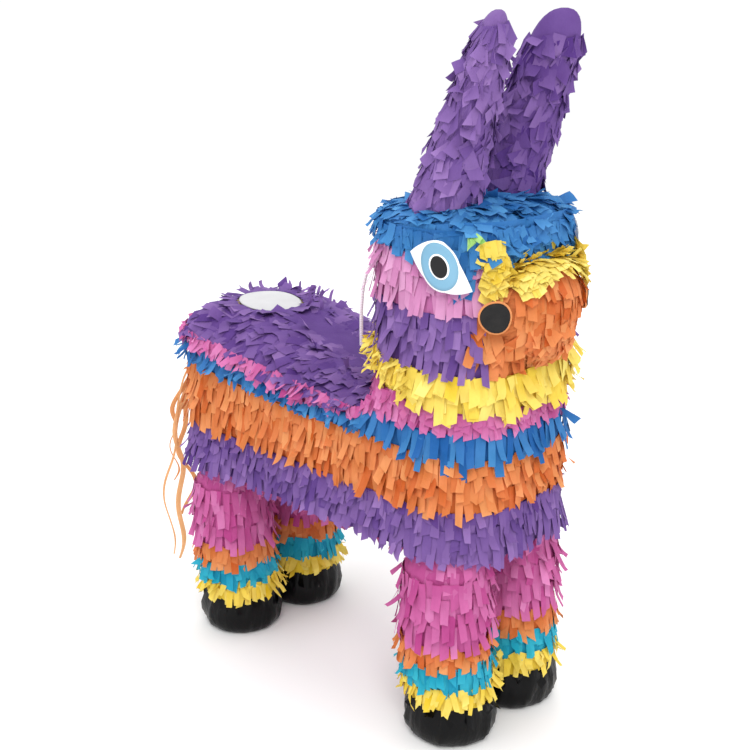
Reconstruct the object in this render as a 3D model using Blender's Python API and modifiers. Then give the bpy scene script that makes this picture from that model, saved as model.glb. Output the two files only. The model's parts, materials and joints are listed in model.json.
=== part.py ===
"""Donkey pinata: a hollow card body on four card tubes, dressed in bands of fringed tissue paper.

Metres, +Z up, the donkey faces -Y, and X = 0 is its mirror plane. Places are given from the middle of
the four hooves on the ground. The empty named pinata moves that point, so that the world origin lies
under the middle of the whole object.
"""

import math

import bmesh
import bpy
from mathutils import Vector

# Driving dimensions of the card body
CARD = 0.002
GAP = 0.0004
SHEET_GAP = 0.0012
COLLAR_GAP = 0.0016
HALF_WIDTH = 0.068
CORNER = 0.047
CHEST_Y = -0.165
NAPE_Y = -0.053
RUMP_Y = 0.178
FACE_SPLIT_Y = -0.110
RUMP_SPLIT_Y = 0.130
BELLY_Z = 0.160
CROWN_Z = 0.398
HEAD_PURPLE_TOP = 0.345
HEAD_PINK_TOP = 0.384
COLLAR_HEIGHT = 0.027
MIDDLE_Y = 0.0206

# Height of the shoulder line of the back, which climbs towards the rump, and of the hump above it
SHOULDER_Z = 0.262
SHOULDER_SLOPE = 0.10
LOW_RISE = 0.008
HUMP_RISE = 0.014

# Fringe: how far a row of tissue stands off the card at its glued edge and at its free edge
FRINGE_INNER = 0.0004
FRINGE_ROOT = 0.004
FRINGE_TIP = 0.010

# Legs and hooves
LEG_X = 0.038
LEG_Y = 0.1275
LEG_RADIUS = 0.0272
HOOF_HEIGHT = 0.034
HOOF_RADIUS = 0.0365
SOLE_Z = 0.010
LEG_ROW_RADIUS = 0.0325
LEG_TIP_RADIUS = 0.0374
ROUND_STEPS = 16

# Muzzle, ears and face
MUZZLE_HALF_WIDTH = 0.046
MUZZLE_LOW_Z = 0.306
MUZZLE_HIGH_Z = 0.3745
MUZZLE_DEPTH = 0.032
MUZZLE_STEPS = 24
EAR_BASE = Vector((0.034, -0.104, 0.4006))
EAR_TIP = Vector((0.036, -0.155, 0.5485))
EAR_FOOT = 0.01
EAR_RADIUS = 0.0245
EYE_Z = 0.379
EYE_HALF_HEIGHT = 0.0165
EYE_TILT = 0.024
EYE_START = 180.0
EYE_SWEEP = 46.0
EYE_STEPS = 12
NOSTRIL_RADIUS = 0.0103

# Filling hole in the back, with its hinged flap
HOLE_Y = 0.123
HOLE_RADIUS = 0.0262
FLAP_RADIUS = 0.0258
LABEL_RADIUS = 0.0252
SADDLE_HOLE_RADIUS = 0.0300

# Hanging cord and tail
CORD_RADIUS = 0.0015
CORD_ROUTE = (
    (0.0, -0.0420, 0.3680),
    (0.0, -0.0340, 0.3676),
    (0.0, -0.0220, 0.3650),
    (0.0, -0.0090, 0.3570),
    (0.0, 0.0010, 0.3450),
    (0.0, 0.0065, 0.3290),
    (0.0, 0.0085, 0.3130),
    (0.0, 0.0090, 0.2980),
    (0.0, 0.0090, 0.2885),
    (0.0, 0.0090, 0.2800),
)
TAIL_ROUTE = ((0.0, 0.1892, 0.240), (0.0, 0.200, 0.242), (0.0, 0.213, 0.237), (0.0, 0.221, 0.221))
TAIL_RADIUS = 0.005
STREAMER_TOP_Z = 0.2170
STREAMER_LENGTH = 0.182
STREAMER_TOP_Y = 0.2225
STREAMER_LEAN = 0.012

COLOURS = {
    "card": (0.42, 0.33, 0.23),
    "purple": (0.16, 0.07, 0.31),
    "pink": (0.58, 0.11, 0.38),
    "blue": (0.04, 0.17, 0.46),
    "orange": (0.68, 0.22, 0.07),
    "yellow": (0.95, 0.75, 0.13),
    "cyan": (0.03, 0.36, 0.55),
    "black": (0.01, 0.01, 0.012),
    "white": (0.85, 0.85, 0.85),
    "cord": (0.80, 0.72, 0.76),
}


def clear_scene():
    for obj in list(bpy.data.objects):
        bpy.data.objects.remove(obj)


def make_collection(name):
    collection = bpy.data.collections.new(name)
    bpy.context.scene.collection.children.link(collection)
    return collection


def make_material(name, colour, roughness=0.85):
    material = bpy.data.materials.new(name)
    material.use_nodes = True
    shader = material.node_tree.nodes["Principled BSDF"]
    shader.inputs["Base Color"].default_value = (*colour, 1.0)
    shader.inputs["Roughness"].default_value = roughness
    shader.inputs["Metallic"].default_value = 0.0
    material.diffuse_color = (*colour, 1.0)
    return material


clear_scene()
PARTS = make_collection("donkey_pinata")
CUTTERS = make_collection("cutters")
PAINT = {name: make_material(name, colour) for name, colour in COLOURS.items()}
ROOT = bpy.data.objects.new("pinata", None)
ROOT.location = (0.0, -MIDDLE_Y, 0.0)
PARTS.objects.link(ROOT)


def place(name, data, colour, location=(0.0, 0.0, 0.0), cutter=False):
    """Object of this mesh or curve, under the pinata's empty."""
    obj = bpy.data.objects.new(name, data)
    (CUTTERS if cutter else PARTS).objects.link(obj)
    obj.parent = ROOT
    obj.location = location
    data.materials.append(PAINT[colour])
    if cutter:
        obj.hide_render = True
        obj.display_type = "WIRE"
    return obj


def mesh_from(bm, name):
    bmesh.ops.recalc_face_normals(bm, faces=bm.faces[:])
    mesh = bpy.data.meshes.new(name)
    bm.to_mesh(mesh)
    bm.free()
    return mesh


def smooth(low, high, value):
    """0 below low, 1 above high, and a smooth step between them."""
    t = min(max((value - low) / (high - low), 0.0), 1.0)
    return t * t * (3.0 - 2.0 * t)


def loft(name, rings, colour, closed=False, location=(0.0, 0.0, 0.0)):
    """Solid through equal rings of points: a closed hoop, or a bar with a face at each end."""
    bm = bmesh.new()
    rows = [[bm.verts.new(point) for point in ring] for ring in rings]
    pairs = list(zip(rows, rows[1:]))
    if closed:
        pairs.append((rows[-1], rows[0]))
    for first, second in pairs:
        for i in range(len(first)):
            j = (i + 1) % len(first)
            bm.faces.new((first[i], first[j], second[j], second[i]))
    if not closed:
        bm.faces.new(rows[0])
        bm.faces.new(rows[-1])
    return place(name, mesh_from(bm, name), colour, location)


def turned(name, profile, colour, location):
    """Closed profile of (radius, height) points, outer side first and from the top down, turned about Z."""
    bm = bmesh.new()
    verts = [bm.verts.new((radius, 0.0, height)) for radius, height in profile]
    for i, vert in enumerate(verts):
        bm.edges.new((vert, verts[(i + 1) % len(verts)]))
    mesh = bpy.data.meshes.new(name)
    bm.to_mesh(mesh)
    bm.free()
    obj = place(name, mesh, colour, location)
    screw = obj.modifiers.new("turn", "SCREW")
    screw.steps = ROUND_STEPS
    screw.render_steps = ROUND_STEPS
    screw.use_merge_vertices = True
    screw.merge_threshold = 0.0001
    return obj


def cut(obj, cutter):
    boolean = obj.modifiers.new("cut", "BOOLEAN")
    boolean.operation = "DIFFERENCE"
    boolean.object = cutter


def disc_mesh(name, radius, depth, segments=32):
    bm = bmesh.new()
    bmesh.ops.create_cone(
        bm, cap_ends=True, segments=segments, radius1=radius, radius2=radius, depth=depth
    )
    return mesh_from(bm, name)


# Plan outlines


def arc(centre, radius, start, stop, steps=6):
    """Points on a circle, from one angle to another in degrees, both ends included."""
    turn = [math.radians(start + (stop - start) * i / steps) for i in range(steps + 1)]
    return [(centre[0] + radius * math.cos(a), centre[1] + radius * math.sin(a)) for a in turn]


def plan(front, rear, grow=0.0, side_steps=6):
    """Closed rounded rectangle seen from above, anticlockwise from the middle of the rear."""
    radius = CORNER + grow
    x = HALF_WIDTH - CORNER
    y_rear = rear - CORNER
    y_front = front + CORNER
    side = [y_rear + (y_front - y_rear) * i / side_steps for i in range(1, side_steps)]
    half = HALF_WIDTH + grow
    points = [(0.0, rear + grow)]
    points += arc((-x, y_rear), radius, 90, 180)
    points += [(-half, y) for y in side]
    points += arc((-x, y_front), radius, 180, 270)
    points += [(0.0, front - grow)]
    points += arc((x, y_front), radius, 270, 360)
    points += [(half, y) for y in reversed(side)]
    points += arc((x, y_rear), radius, 0, 90)
    return points


def end_wall(end_y, split_y, grow=0.0):
    """Open run of plan points from the right flank, round one end of the body, to the left flank."""
    sign = 1 if end_y > split_y else -1
    x = HALF_WIDTH - CORNER
    y = end_y - sign * CORNER
    half = HALF_WIDTH + grow
    right = arc((-x, y), CORNER + grow, 180, 180 - sign * 90)
    left = arc((x, y), CORNER + grow, sign * 90, 0)
    return [(-half, split_y), *right, *left, (half, split_y)]


def face_y(x):
    """Y of the card face in front, where its width is x from the middle."""
    past = max(abs(x) - (HALF_WIDTH - CORNER), 0.0)
    return CHEST_Y + CORNER - math.sqrt(CORNER**2 - past**2)


# Heights of the bands' borders, from Y


def chest_dip(y):
    return smooth(-0.04, -0.165, y) if y < -0.04 else 0.0


def shoulder_z(y):
    return SHOULDER_Z + SHOULDER_SLOPE * y


def neck_share(y):
    """0 along the torso and 1 on the neck and chest."""
    return 1.0 - smooth(-0.085, -0.057, y)


def purple_low(y):
    return 0.154 - 0.012 * chest_dip(y)


def purple_high(y):
    return 0.196 - 0.016 * chest_dip(y)


def orange_high(y):
    return 0.2405 + 0.06 * y - 0.016 * chest_dip(y)


def blue_high(y):
    return 0.2495 + 0.11 * y


def collar_low(y):
    return 0.2746 + 0.235 * (y + 0.11)


def collar_high(y):
    return collar_low(y) + COLLAR_HEIGHT


def pink_high(y):
    torso = shoulder_z(y) - 0.0006
    return torso + (collar_low(y) - COLLAR_GAP - torso) * neck_share(y)


def level(z):
    return lambda y: z


# Card body


def wall(name, points, low_z, high_z):
    """Card panel standing on a run of plan points. high_z gives its upper edge from Y."""
    bm = bmesh.new()
    low = [bm.verts.new((x, y, low_z)) for x, y in points]
    high = [bm.verts.new((x, y, high_z(y))) for x, y in points]
    for i in range(len(points) - 1):
        bm.faces.new((low[i], low[i + 1], high[i + 1], high[i]))
    obj = place(name, mesh_from(bm, name), "card")
    solidify = obj.modifiers.new("card", "SOLIDIFY")
    solidify.thickness = CARD
    solidify.offset = 0.0
    return obj


def flat_plate(name, points, low_z, thickness, colour, location=(0.0, 0.0, 0.0)):
    low = [(x, y, low_z) for x, y in points]
    high = [(x, y, low_z + thickness) for x, y in points]
    return loft(name, [low, high], colour, location=location)


def back_half_width(y):
    past = max(y - (RUMP_Y - CORNER), 0.0)
    return HALF_WIDTH - CORNER + math.sqrt(CORNER**2 - min(past, CORNER) ** 2)


def back_height(x, y):
    """Upper surface of the card back: a low hump that rounds off at the flanks and over the rump."""
    across = min(abs(x) / back_half_width(y), 1.0)
    along = min(max((y - 0.115) / (RUMP_Y - 0.115), 0.0), 1.0)
    rise = LOW_RISE + HUMP_RISE * smooth(-0.03, 0.10, y)
    return shoulder_z(y) + rise * (1.0 - across**4) * (1.0 - along**4)


def back_grid(first_y, grow, lift):
    """Rows of points over the back, spread outwards by grow and raised by lift."""
    rows = []
    for j in range(15):
        y = first_y + (RUMP_Y - first_y) * math.sin(math.pi / 2 * j / 14) ** 0.8
        width = back_half_width(y)
        past = smooth(RUMP_Y - CORNER, RUMP_Y, y)
        row = []
        for i in range(13):
            x = width * math.sin(math.pi / 2 * (i - 6) / 6)
            out = 1.0 + grow / width
            row.append((x * out, y + grow * past, back_height(x, y) + lift))
        rows.append(row)
    return rows


def back_slab(name, first_y, low, high, colour):
    """Curved sheet between two grids over the back. low and high are each (grow, lift)."""
    rings = []
    for under, over in zip(back_grid(first_y, *low), back_grid(first_y, *high)):
        rings.append(under + over[::-1])
    return loft(name, rings, colour)


def hole_cutter(name, radius):
    return place(name, disc_mesh(name, radius, 0.08, 40), "card", (0.0, HOLE_Y, 0.29), cutter=True)


def wall_top(y):
    """Upper edge of the torso's walls: just under the card back, and level under the neck."""
    return shoulder_z(max(y, NAPE_Y)) - CARD - 4 * GAP


def card_body():
    inset = -CARD / 2
    wall("face_panel", end_wall(CHEST_Y, FACE_SPLIT_Y, inset), BELLY_Z + CARD + GAP, level(CROWN_Z - GAP))
    nape = end_wall(NAPE_Y, FACE_SPLIT_Y + CARD / 2, inset)
    wall("nape_panel", nape, shoulder_z(NAPE_Y) - CARD, level(CROWN_Z - GAP))
    rump = end_wall(RUMP_Y, RUMP_SPLIT_Y + GAP, inset)
    wall("rump_panel", rump, BELLY_Z + CARD + GAP, wall_top)
    for side, sign in (("right", -1), ("left", 1)):
        x = sign * (HALF_WIDTH + inset)
        ends = [FACE_SPLIT_Y + GAP, NAPE_Y + GAP, RUMP_SPLIT_Y]
        wall(f"flank_panel_{side}", [(x, y) for y in ends], BELLY_Z + CARD + GAP, wall_top)
    flat_plate("belly_panel", plan(CHEST_Y, RUMP_Y), BELLY_Z, CARD, "card")
    flat_plate("crown_panel", plan(CHEST_Y, NAPE_Y), CROWN_Z, CARD, "card")


def filling_hole():
    """The card back with its round hole, the flap cut from it, and the paper label on the flap."""
    first_y = NAPE_Y + GAP
    back = back_slab("back_panel", first_y, (0.0, -CARD), (0.0, 0.0), "card")
    cut(back, hole_cutter("hole_cutter", HOLE_RADIUS))
    saddle = back_slab(
        "saddle_fringe_purple",
        first_y,
        (0.0, SHEET_GAP),
        (FRINGE_TIP - 0.001, FRINGE_ROOT + SHEET_GAP),
        "purple",
    )
    cut(saddle, hole_cutter("saddle_hole_cutter", SADDLE_HOLE_RADIUS))
    for name, radius, low, high, colour in (
        ("fill_flap", FLAP_RADIUS, -CARD, 0.0, "card"),
        ("fill_label", LABEL_RADIUS, GAP, GAP + 0.0006, "white"),
    ):
        sheet = back_slab(name, HOLE_Y - 0.045, (0.0, low), (0.0, high), colour)
        keep = sheet.modifiers.new("round", "BOOLEAN")
        keep.operation = "INTERSECT"
        keep.object = hole_cutter(f"{name}_outline", radius)


# Legs


def leg_rows(low_z, high_z, rows, radius_inner):
    """Profile of a fringe sleeve: each row starts close to the tube and flares to its free edge."""
    profile = []
    for k in range(rows):
        profile.append((LEG_ROW_RADIUS, high_z - (high_z - low_z) * k / rows))
        profile.append((LEG_TIP_RADIUS, high_z - (high_z - low_z) * (k + 1) / rows))
    return [*profile, (radius_inner, low_z), (radius_inner, high_z)]


LEG_PINK_LOW = 0.0845
LEG_BANDS = (
    ("orange", 0.0670, 0.0841, 1),
    ("cyan", 0.0490, 0.0666, 1),
    ("yellow", HOOF_HEIGHT + GAP, 0.0486, 1),
)


def legs():
    sleeve_inner = LEG_RADIUS + GAP
    tube = (
        (LEG_RADIUS, BELLY_Z - GAP),
        (LEG_RADIUS, SOLE_Z),
        (LEG_RADIUS - CARD, SOLE_Z),
        (LEG_RADIUS - CARD, BELLY_Z - GAP),
    )
    hoof = (
        (HOOF_RADIUS - 0.002, HOOF_HEIGHT),
        (HOOF_RADIUS, HOOF_HEIGHT * 0.6),
        (HOOF_RADIUS - 0.001, HOOF_HEIGHT * 0.25),
        (HOOF_RADIUS - 0.005, HOOF_HEIGHT * 0.06),
        (HOOF_RADIUS - 0.008, 0.0),
        (0.0, 0.0),
        (0.0, SOLE_Z - GAP),
        (sleeve_inner, SOLE_Z - GAP),
        (sleeve_inner, HOOF_HEIGHT),
    )
    for end, y in (("front", -LEG_Y), ("rear", LEG_Y)):
        for side, x in (("right", -LEG_X), ("left", LEG_X)):
            at = (x, y, 0.0)
            where = f"{end}_{side}"
            turned(f"leg_tube_{where}", tube, "card", at)
            turned(f"hoof_{where}", hoof, "black", at)
            skirt_z = purple_low(y - LEG_TIP_RADIUS) - GAP
            for colour, low_z, high_z, rows in (*LEG_BANDS, ("pink", LEG_PINK_LOW, skirt_z, 2)):
                profile = leg_rows(low_z, high_z, rows, sleeve_inner)
                turned(f"leg_fringe_{colour}_{where}", profile, colour, at)


# Fringe bands round the body


def fringe_profile(rows):
    """Section of a band as (distance off the card, share of its height), row below row."""
    profile = [(FRINGE_INNER, 0.0), (FRINGE_INNER, 1.0)]
    for k in range(rows):
        profile.append((FRINGE_ROOT, 1.0 - k / rows))
        profile.append((FRINGE_TIP, 1.0 - (k + 1) / rows))
    return profile


def band(name, outline, low, high, rows, colour, closed=True):
    """Fringe band along a plan outline, given as a function of how far it stands off the card."""
    profile = fringe_profile(rows)
    sides = [outline(off) for off, _ in profile]
    rings = []
    for i, (_, base_y) in enumerate(sides[0]):
        bottom = low(base_y) + GAP / 2
        top = high(base_y) - GAP / 2
        points = [side[i] for side in sides]
        heights = [bottom + (top - bottom) * share for _, share in profile]
        rings.append([(x, y, z) for (x, y), z in zip(points, heights)])
    return loft(name, rings, colour, closed=closed)


def open_front(off):
    """Outline of the head without the muzzle's width, from the right cheek round the nape to the left."""
    cheek = MUZZLE_HALF_WIDTH + 0.014
    turn = math.degrees(math.acos((cheek - (HALF_WIDTH - CORNER)) / (CORNER + FRINGE_TIP)))
    x = HALF_WIDTH - CORNER
    y_front = CHEST_Y + CORNER
    y_rear = NAPE_Y - CORNER
    radius = CORNER + off
    right = arc((-x, y_front), radius, 180 + turn, 180, 4) + arc((-x, y_rear), radius, 180, 90)
    left = arc((x, y_rear), radius, 90, 0) + arc((x, y_front), radius, 0, -turn, 4)
    return [*right, (0.0, NAPE_Y + off), *left]


def body_bands():
    def body(off):
        return plan(CHEST_Y, RUMP_Y, off, 8)

    def head(off):
        return plan(CHEST_Y, NAPE_Y, off, 2)

    band("body_fringe_purple", body, purple_low, purple_high, 3, "purple")
    band("body_fringe_orange", body, purple_high, orange_high, 3, "orange")
    band("body_fringe_blue", body, orange_high, blue_high, 1, "blue")
    band("body_fringe_pink", body, blue_high, pink_high, 1, "pink")
    band("collar_fringe_yellow", head, collar_low, collar_high, 2, "yellow")
    band("head_fringe_purple", open_front, collar_high, level(HEAD_PURPLE_TOP), 3, "purple", closed=False)
    head_pink = (level(HEAD_PURPLE_TOP), level(HEAD_PINK_TOP))
    band("head_fringe_pink", open_front, *head_pink, 3, "pink", closed=False)
    crown_fringe()
    belly = [(0.058 * x, 0.082 * y) for x, y in ((-1, -0.9), (-0.9, -1), (0.9, -1), (1, -0.9))]
    belly += [(-x, -y) for x, y in belly]
    flat_plate("belly_fringe_pink", belly, BELLY_Z - 0.0075, 0.007, "pink")


def crown_fringe():
    """Cap of blue tissue over the top of the head, cut for the card inside it and for the ears' feet."""
    levels = ((FRINGE_TIP, 0.3842), (FRINGE_ROOT + 0.003, 0.398), (0.003, 0.406), (-0.008, 0.4105))
    rings = [[(x, y, z) for x, y in plan(CHEST_Y, NAPE_Y, off, 2)] for off, z in levels]
    cap = loft("crown_fringe_blue", rings, "blue")
    inside = [(x, y, z) for z in (0.37, CROWN_Z + CARD + GAP) for x, y in plan(CHEST_Y, NAPE_Y, GAP, 2)]
    half = len(inside) // 2
    block = loft("head_cutter", [inside[:half], inside[half:]], "card")
    PARTS.objects.unlink(block)
    CUTTERS.objects.link(block)
    block.hide_render = True
    block.display_type = "WIRE"
    cut(cap, block)
    for side, sign in (("right", -1), ("left", 1)):
        mesh = disc_mesh(f"ear_foot_{side}", 0.0315, 0.04, 28)
        at = (sign * EAR_BASE.x, EAR_BASE.y - 0.002, EAR_BASE.z)
        cut(cap, place(f"ear_foot_{side}", mesh, "card", at, cutter=True))


# Ears


def ear_ring(sign, share, grow, count=16):
    """Ring round the ear at this share of its length: round at the foot and pinched flat at the tip."""
    centre = EAR_BASE.lerp(EAR_TIP, share)
    end = (1.0 - share**14) ** 0.5
    wide = (EAR_RADIUS - 0.0010 * share) * end + grow
    thick = (EAR_RADIUS - 0.0130 * share**2) * end + grow
    wide_axis = Vector((0.70, -0.71, 0.0))
    thick_axis = Vector((0.71, 0.70, 0.0))
    ring = []
    for i in range(count):
        turn = 2 * math.pi * i / count
        point = centre + wide_axis * wide * math.cos(turn) + thick_axis * thick * math.sin(turn)
        ring.append((sign * point.x, point.y, point.z))
    return ring


def ears():
    for side, sign in (("right", -1), ("left", 1)):
        shares = [0.0, 0.2, 0.4, 0.6, 0.75, 0.86, 0.93, 0.975, 0.995]
        inner = [ear_ring(sign, s, -0.0015) for s in shares if s < 0.95]
        outer = [ear_ring(sign, s, 0.0) for s in shares]
        loft(f"ear_{side}", inner[::-1] + outer, "purple")
        rows = 4
        rings = [ear_ring(sign, s, GAP) for s in (0.75, 0.6, 0.4, 0.2, EAR_FOOT)]
        length = 0.75 - EAR_FOOT
        for k in range(rows):
            rings.append(ear_ring(sign, EAR_FOOT + length * k / rows, 0.005))
            rings.append(ear_ring(sign, EAR_FOOT + length * (k + 1) / rows, 0.0025))
        loft(f"ear_fringe_{side}", rings, "purple", closed=True)


# Muzzle and face


def muzzle_ring(share, grow, count=MUZZLE_STEPS):
    """Ring round the muzzle, from the card face at share 0 to its blunt front at share 1."""
    size = (1.0 - share**2.6) ** (1 / 2.6)
    middle_z = (MUZZLE_LOW_Z + MUZZLE_HIGH_Z) / 2 + 0.006 * share
    half_height = (MUZZLE_HIGH_Z - MUZZLE_LOW_Z) / 2 * size + grow
    half_width = MUZZLE_HALF_WIDTH * size + grow
    ring = []
    for i in range(count):
        turn = 2 * math.pi * i / count
        across = math.copysign(abs(math.cos(turn)) ** 0.75, math.cos(turn))
        up = math.copysign(abs(math.sin(turn)) ** 0.75, math.sin(turn))
        x = half_width * across
        y = face_y(x) - 2 * GAP - (MUZZLE_DEPTH + grow) * share
        ring.append((x, y, middle_z + half_height * up))
    return ring


def muzzle_shell(name, inner_grow, outer_grow, shares, colour):
    inner = [muzzle_ring(s, inner_grow) for s in shares]
    outer = [muzzle_ring(s, outer_grow) for s in shares]
    return loft(name, inner[::-1] + outer, colour)


def muzzle():
    shares = [0.0, 0.3, 0.55, 0.8, 0.95]
    muzzle_shell("muzzle_cup", -CARD, 0.0, shares, "card")
    muzzle_shell("muzzle_fringe_orange", GAP, 0.0045, shares, "orange")
    rings = []
    for i in range(MUZZLE_STEPS // 8, 3 * MUZZLE_STEPS // 8 + 1):
        under = [muzzle_ring(s, 0.0045 + GAP)[i] for s in (0.0, 0.3, 0.55)]
        over = [muzzle_ring(s, 0.0075)[i] for s in (0.55, 0.3, 0.0)]
        rings.append(under + over)
    loft("muzzle_fringe_yellow", rings, "yellow")


def face():
    """Printed paper eyes on the front corners of the head, and the round black nostrils."""
    centre = (HALF_WIDTH - CORNER, CHEST_Y + CORNER)
    for side, sign in (("right", -1), ("left", 1)):
        rings = []
        for i in range(EYE_STEPS + 1):
            share = i / EYE_STEPS
            turn = math.radians(EYE_START + EYE_SWEEP * share)
            half = EYE_HALF_HEIGHT * math.sin(math.pi * (0.03 + 0.94 * share)) ** 0.8
            middle = EYE_Z + EYE_TILT * (0.5 - share)
            ring = []
            for off, z in (
                (FRINGE_TIP + GAP, middle - half),
                (FRINGE_TIP + GAP + 0.0008, middle - half),
                (FRINGE_TIP + GAP + 0.0008, middle + half),
                (FRINGE_TIP + GAP, middle + half),
            ):
                x = -centre[0] + (CORNER + off) * math.cos(turn)
                y = centre[1] + (CORNER + off) * math.sin(turn)
                ring.append((-sign * x, y, z))
            rings.append(ring)
        loft(f"eye_{side}", rings, "white")
        nostril = place(f"nostril_{side}", disc_mesh("nostril", NOSTRIL_RADIUS, 0.001), "black")
        outward = Vector((sign * 0.72, -0.69, 0.06)).normalized()
        nostril.rotation_euler = outward.to_track_quat("Z", "Y").to_euler()
        nostril.location = Vector((sign * 0.0475, -0.1735, 0.344)) + outward * 0.0055


# Cord and tail


def smooth_route(points, count):
    """Evenly shared points on a Catmull-Rom curve through the route's own points."""
    ends = [Vector(points[0]) * 2 - Vector(points[1]), *map(Vector, points)]
    ends.append(Vector(points[-1]) * 2 - Vector(points[-2]))
    spans = len(points) - 1
    found = []
    for k in range(count + 1):
        at = min(k * spans / count, spans - 1e-9)
        i = int(at)
        t = at - i
        a, b, c, d = ends[i : i + 4]
        found.append(
            0.5 * (2 * b + (c - a) * t + (2 * a - 5 * b + 4 * c - d) * t**2 + (3 * b - a - 3 * c + d) * t**3)
        )
    return found


def tube(name, points, radius, colour):
    curve = bpy.data.curves.new(name, "CURVE")
    curve.dimensions = "3D"
    curve.bevel_depth = radius
    curve.bevel_resolution = 2
    curve.use_fill_caps = True
    spline = curve.splines.new("POLY")
    spline.points.add(len(points) - 1)
    for point, place_at in zip(spline.points, points):
        point.co = (*place_at, 1.0)
    return place(name, curve, colour)


def cord_and_tail():
    tube("hang_cord", smooth_route(CORD_ROUTE, 24), CORD_RADIUS, "cord")
    tube("tail_stem", smooth_route(TAIL_ROUTE, 8), TAIL_RADIUS, "purple")
    rings = []
    for share in (0.0, 0.15, 0.4, 0.7, 1.0):
        half_x = 0.007 + 0.026 * math.sin(math.pi / 2 * share)
        half_y = 0.006 + 0.006 * math.sin(math.pi * share)
        y = STREAMER_TOP_Y + STREAMER_LEAN * share
        z = STREAMER_TOP_Z - STREAMER_LENGTH * share
        rings.append([
            (half_x * math.cos(2 * math.pi * i / 12), y + half_y * math.sin(2 * math.pi * i / 12), z)
            for i in range(12)
        ])
    loft("tail_streamers", rings, "orange")
    washer = ((0.012, 0.0006), (0.012, -0.0006), (0.0022, -0.0006), (0.0022, 0.0006))
    turned("cord_washer_back", washer, "card", (0.0, 0.009, back_height(0.0, 0.009) - CARD - 0.0042))
    head = turned("cord_washer_head", washer, "card", (0.0, NAPE_Y - CARD - 0.0014, 0.368))
    head.rotation_euler = (math.pi / 2, 0.0, 0.0)


card_body()
filling_hole()
legs()
body_bands()
ears()
muzzle()
face()
cord_and_tail()
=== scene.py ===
import json
import math

import bpy
import numpy as np
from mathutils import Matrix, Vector

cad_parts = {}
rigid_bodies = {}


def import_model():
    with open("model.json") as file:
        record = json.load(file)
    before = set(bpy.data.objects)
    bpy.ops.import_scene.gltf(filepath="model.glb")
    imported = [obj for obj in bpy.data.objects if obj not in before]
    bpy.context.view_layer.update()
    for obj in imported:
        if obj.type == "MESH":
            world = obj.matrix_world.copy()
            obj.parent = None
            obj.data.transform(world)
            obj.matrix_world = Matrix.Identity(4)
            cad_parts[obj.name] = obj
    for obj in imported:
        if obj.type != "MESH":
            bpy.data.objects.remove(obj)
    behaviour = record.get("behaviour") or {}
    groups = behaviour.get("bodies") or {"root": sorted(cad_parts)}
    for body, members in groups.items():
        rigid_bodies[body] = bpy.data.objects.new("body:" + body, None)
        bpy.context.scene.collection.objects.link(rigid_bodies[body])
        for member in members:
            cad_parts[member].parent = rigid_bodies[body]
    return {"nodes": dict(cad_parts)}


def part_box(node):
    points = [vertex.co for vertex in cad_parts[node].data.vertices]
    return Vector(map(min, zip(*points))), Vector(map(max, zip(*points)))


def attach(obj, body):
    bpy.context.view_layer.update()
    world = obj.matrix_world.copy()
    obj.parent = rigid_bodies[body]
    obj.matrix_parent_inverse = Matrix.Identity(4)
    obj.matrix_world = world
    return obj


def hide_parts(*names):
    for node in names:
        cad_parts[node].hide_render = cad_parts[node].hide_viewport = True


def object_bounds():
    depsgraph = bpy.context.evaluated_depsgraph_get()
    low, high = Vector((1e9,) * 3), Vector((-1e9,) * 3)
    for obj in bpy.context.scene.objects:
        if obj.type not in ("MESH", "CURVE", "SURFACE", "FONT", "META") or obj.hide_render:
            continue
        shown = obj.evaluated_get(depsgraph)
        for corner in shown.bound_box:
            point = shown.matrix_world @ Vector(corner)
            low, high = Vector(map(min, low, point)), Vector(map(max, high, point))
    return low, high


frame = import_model()
size_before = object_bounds()

# Sizes, repeated from the frame or read off its boxes. The looks are worked out in a frame whose
# origin lies on the ground midway between the four hooves, and shift() moves them into the row's.

HOOVES = [f"hoof_{end}_{side}" for end in ("front", "rear") for side in ("right", "left")]
HOOF_BOXES = [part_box(name) for name in HOOVES]
MIDDLE_Y = (min(b[0].y for b in HOOF_BOXES) + max(b[1].y for b in HOOF_BOXES)) / 2
BELLY_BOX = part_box("belly_panel")
CROWN_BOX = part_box("crown_panel")
HALF_WIDTH = BELLY_BOX[1].x
CHEST_Y = BELLY_BOX[0].y - MIDDLE_Y
RUMP_Y = BELLY_BOX[1].y - MIDDLE_Y
NAPE_Y = CROWN_BOX[1].y - MIDDLE_Y
BELLY_Z = BELLY_BOX[0].z
LEG_X = (HOOF_BOXES[1][0].x + HOOF_BOXES[1][1].x) / 2
LEG_Y = (HOOF_BOXES[2][0].y + HOOF_BOXES[2][1].y) / 2 - MIDDLE_Y
HOOF_RADIUS = (HOOF_BOXES[0][1].x - HOOF_BOXES[0][0].x) / 2
HOOF_HEIGHT = HOOF_BOXES[0][1].z
CORNER = 0.047
SHOULDER_Z = 0.262
SHOULDER_SLOPE = 0.10
LOW_RISE = 0.008
HUMP_RISE = 0.014
LEG_RADIUS = 0.0272
LEG_LEAN = 0.004
LEG_TUCK = 0.005
HOLE_Y = 0.123
LABEL_RADIUS = 0.0272
LABEL_Y = HOLE_Y - 0.0012
LABEL_TILT = 0.03
MUZZLE_HALF_WIDTH = 0.0405
MUZZLE_MIDDLE_Z = 0.3402
MUZZLE_HALF_HEIGHT = 0.0343
MUZZLE_DEPTH = 0.0225
MUZZLE_TOP_POWER = 0.75
MUZZLE_LOW_POWER = 1.25
EAR_BASE = np.array((0.034, -0.104, 0.4006))
EAR_TIP = np.array((0.036, -0.155, 0.5485))
EAR_RADIUS = 0.0245
EYE_ALONG = 0.0193
EYE_Z = 0.3770
EYE_HALF_LENGTH = 0.0184
EYE_SLOPE = 0.0122
EYE_TOP = 0.0225
EYE_LOW = 0.0125
CORD_RADIUS = 0.0015
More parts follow.
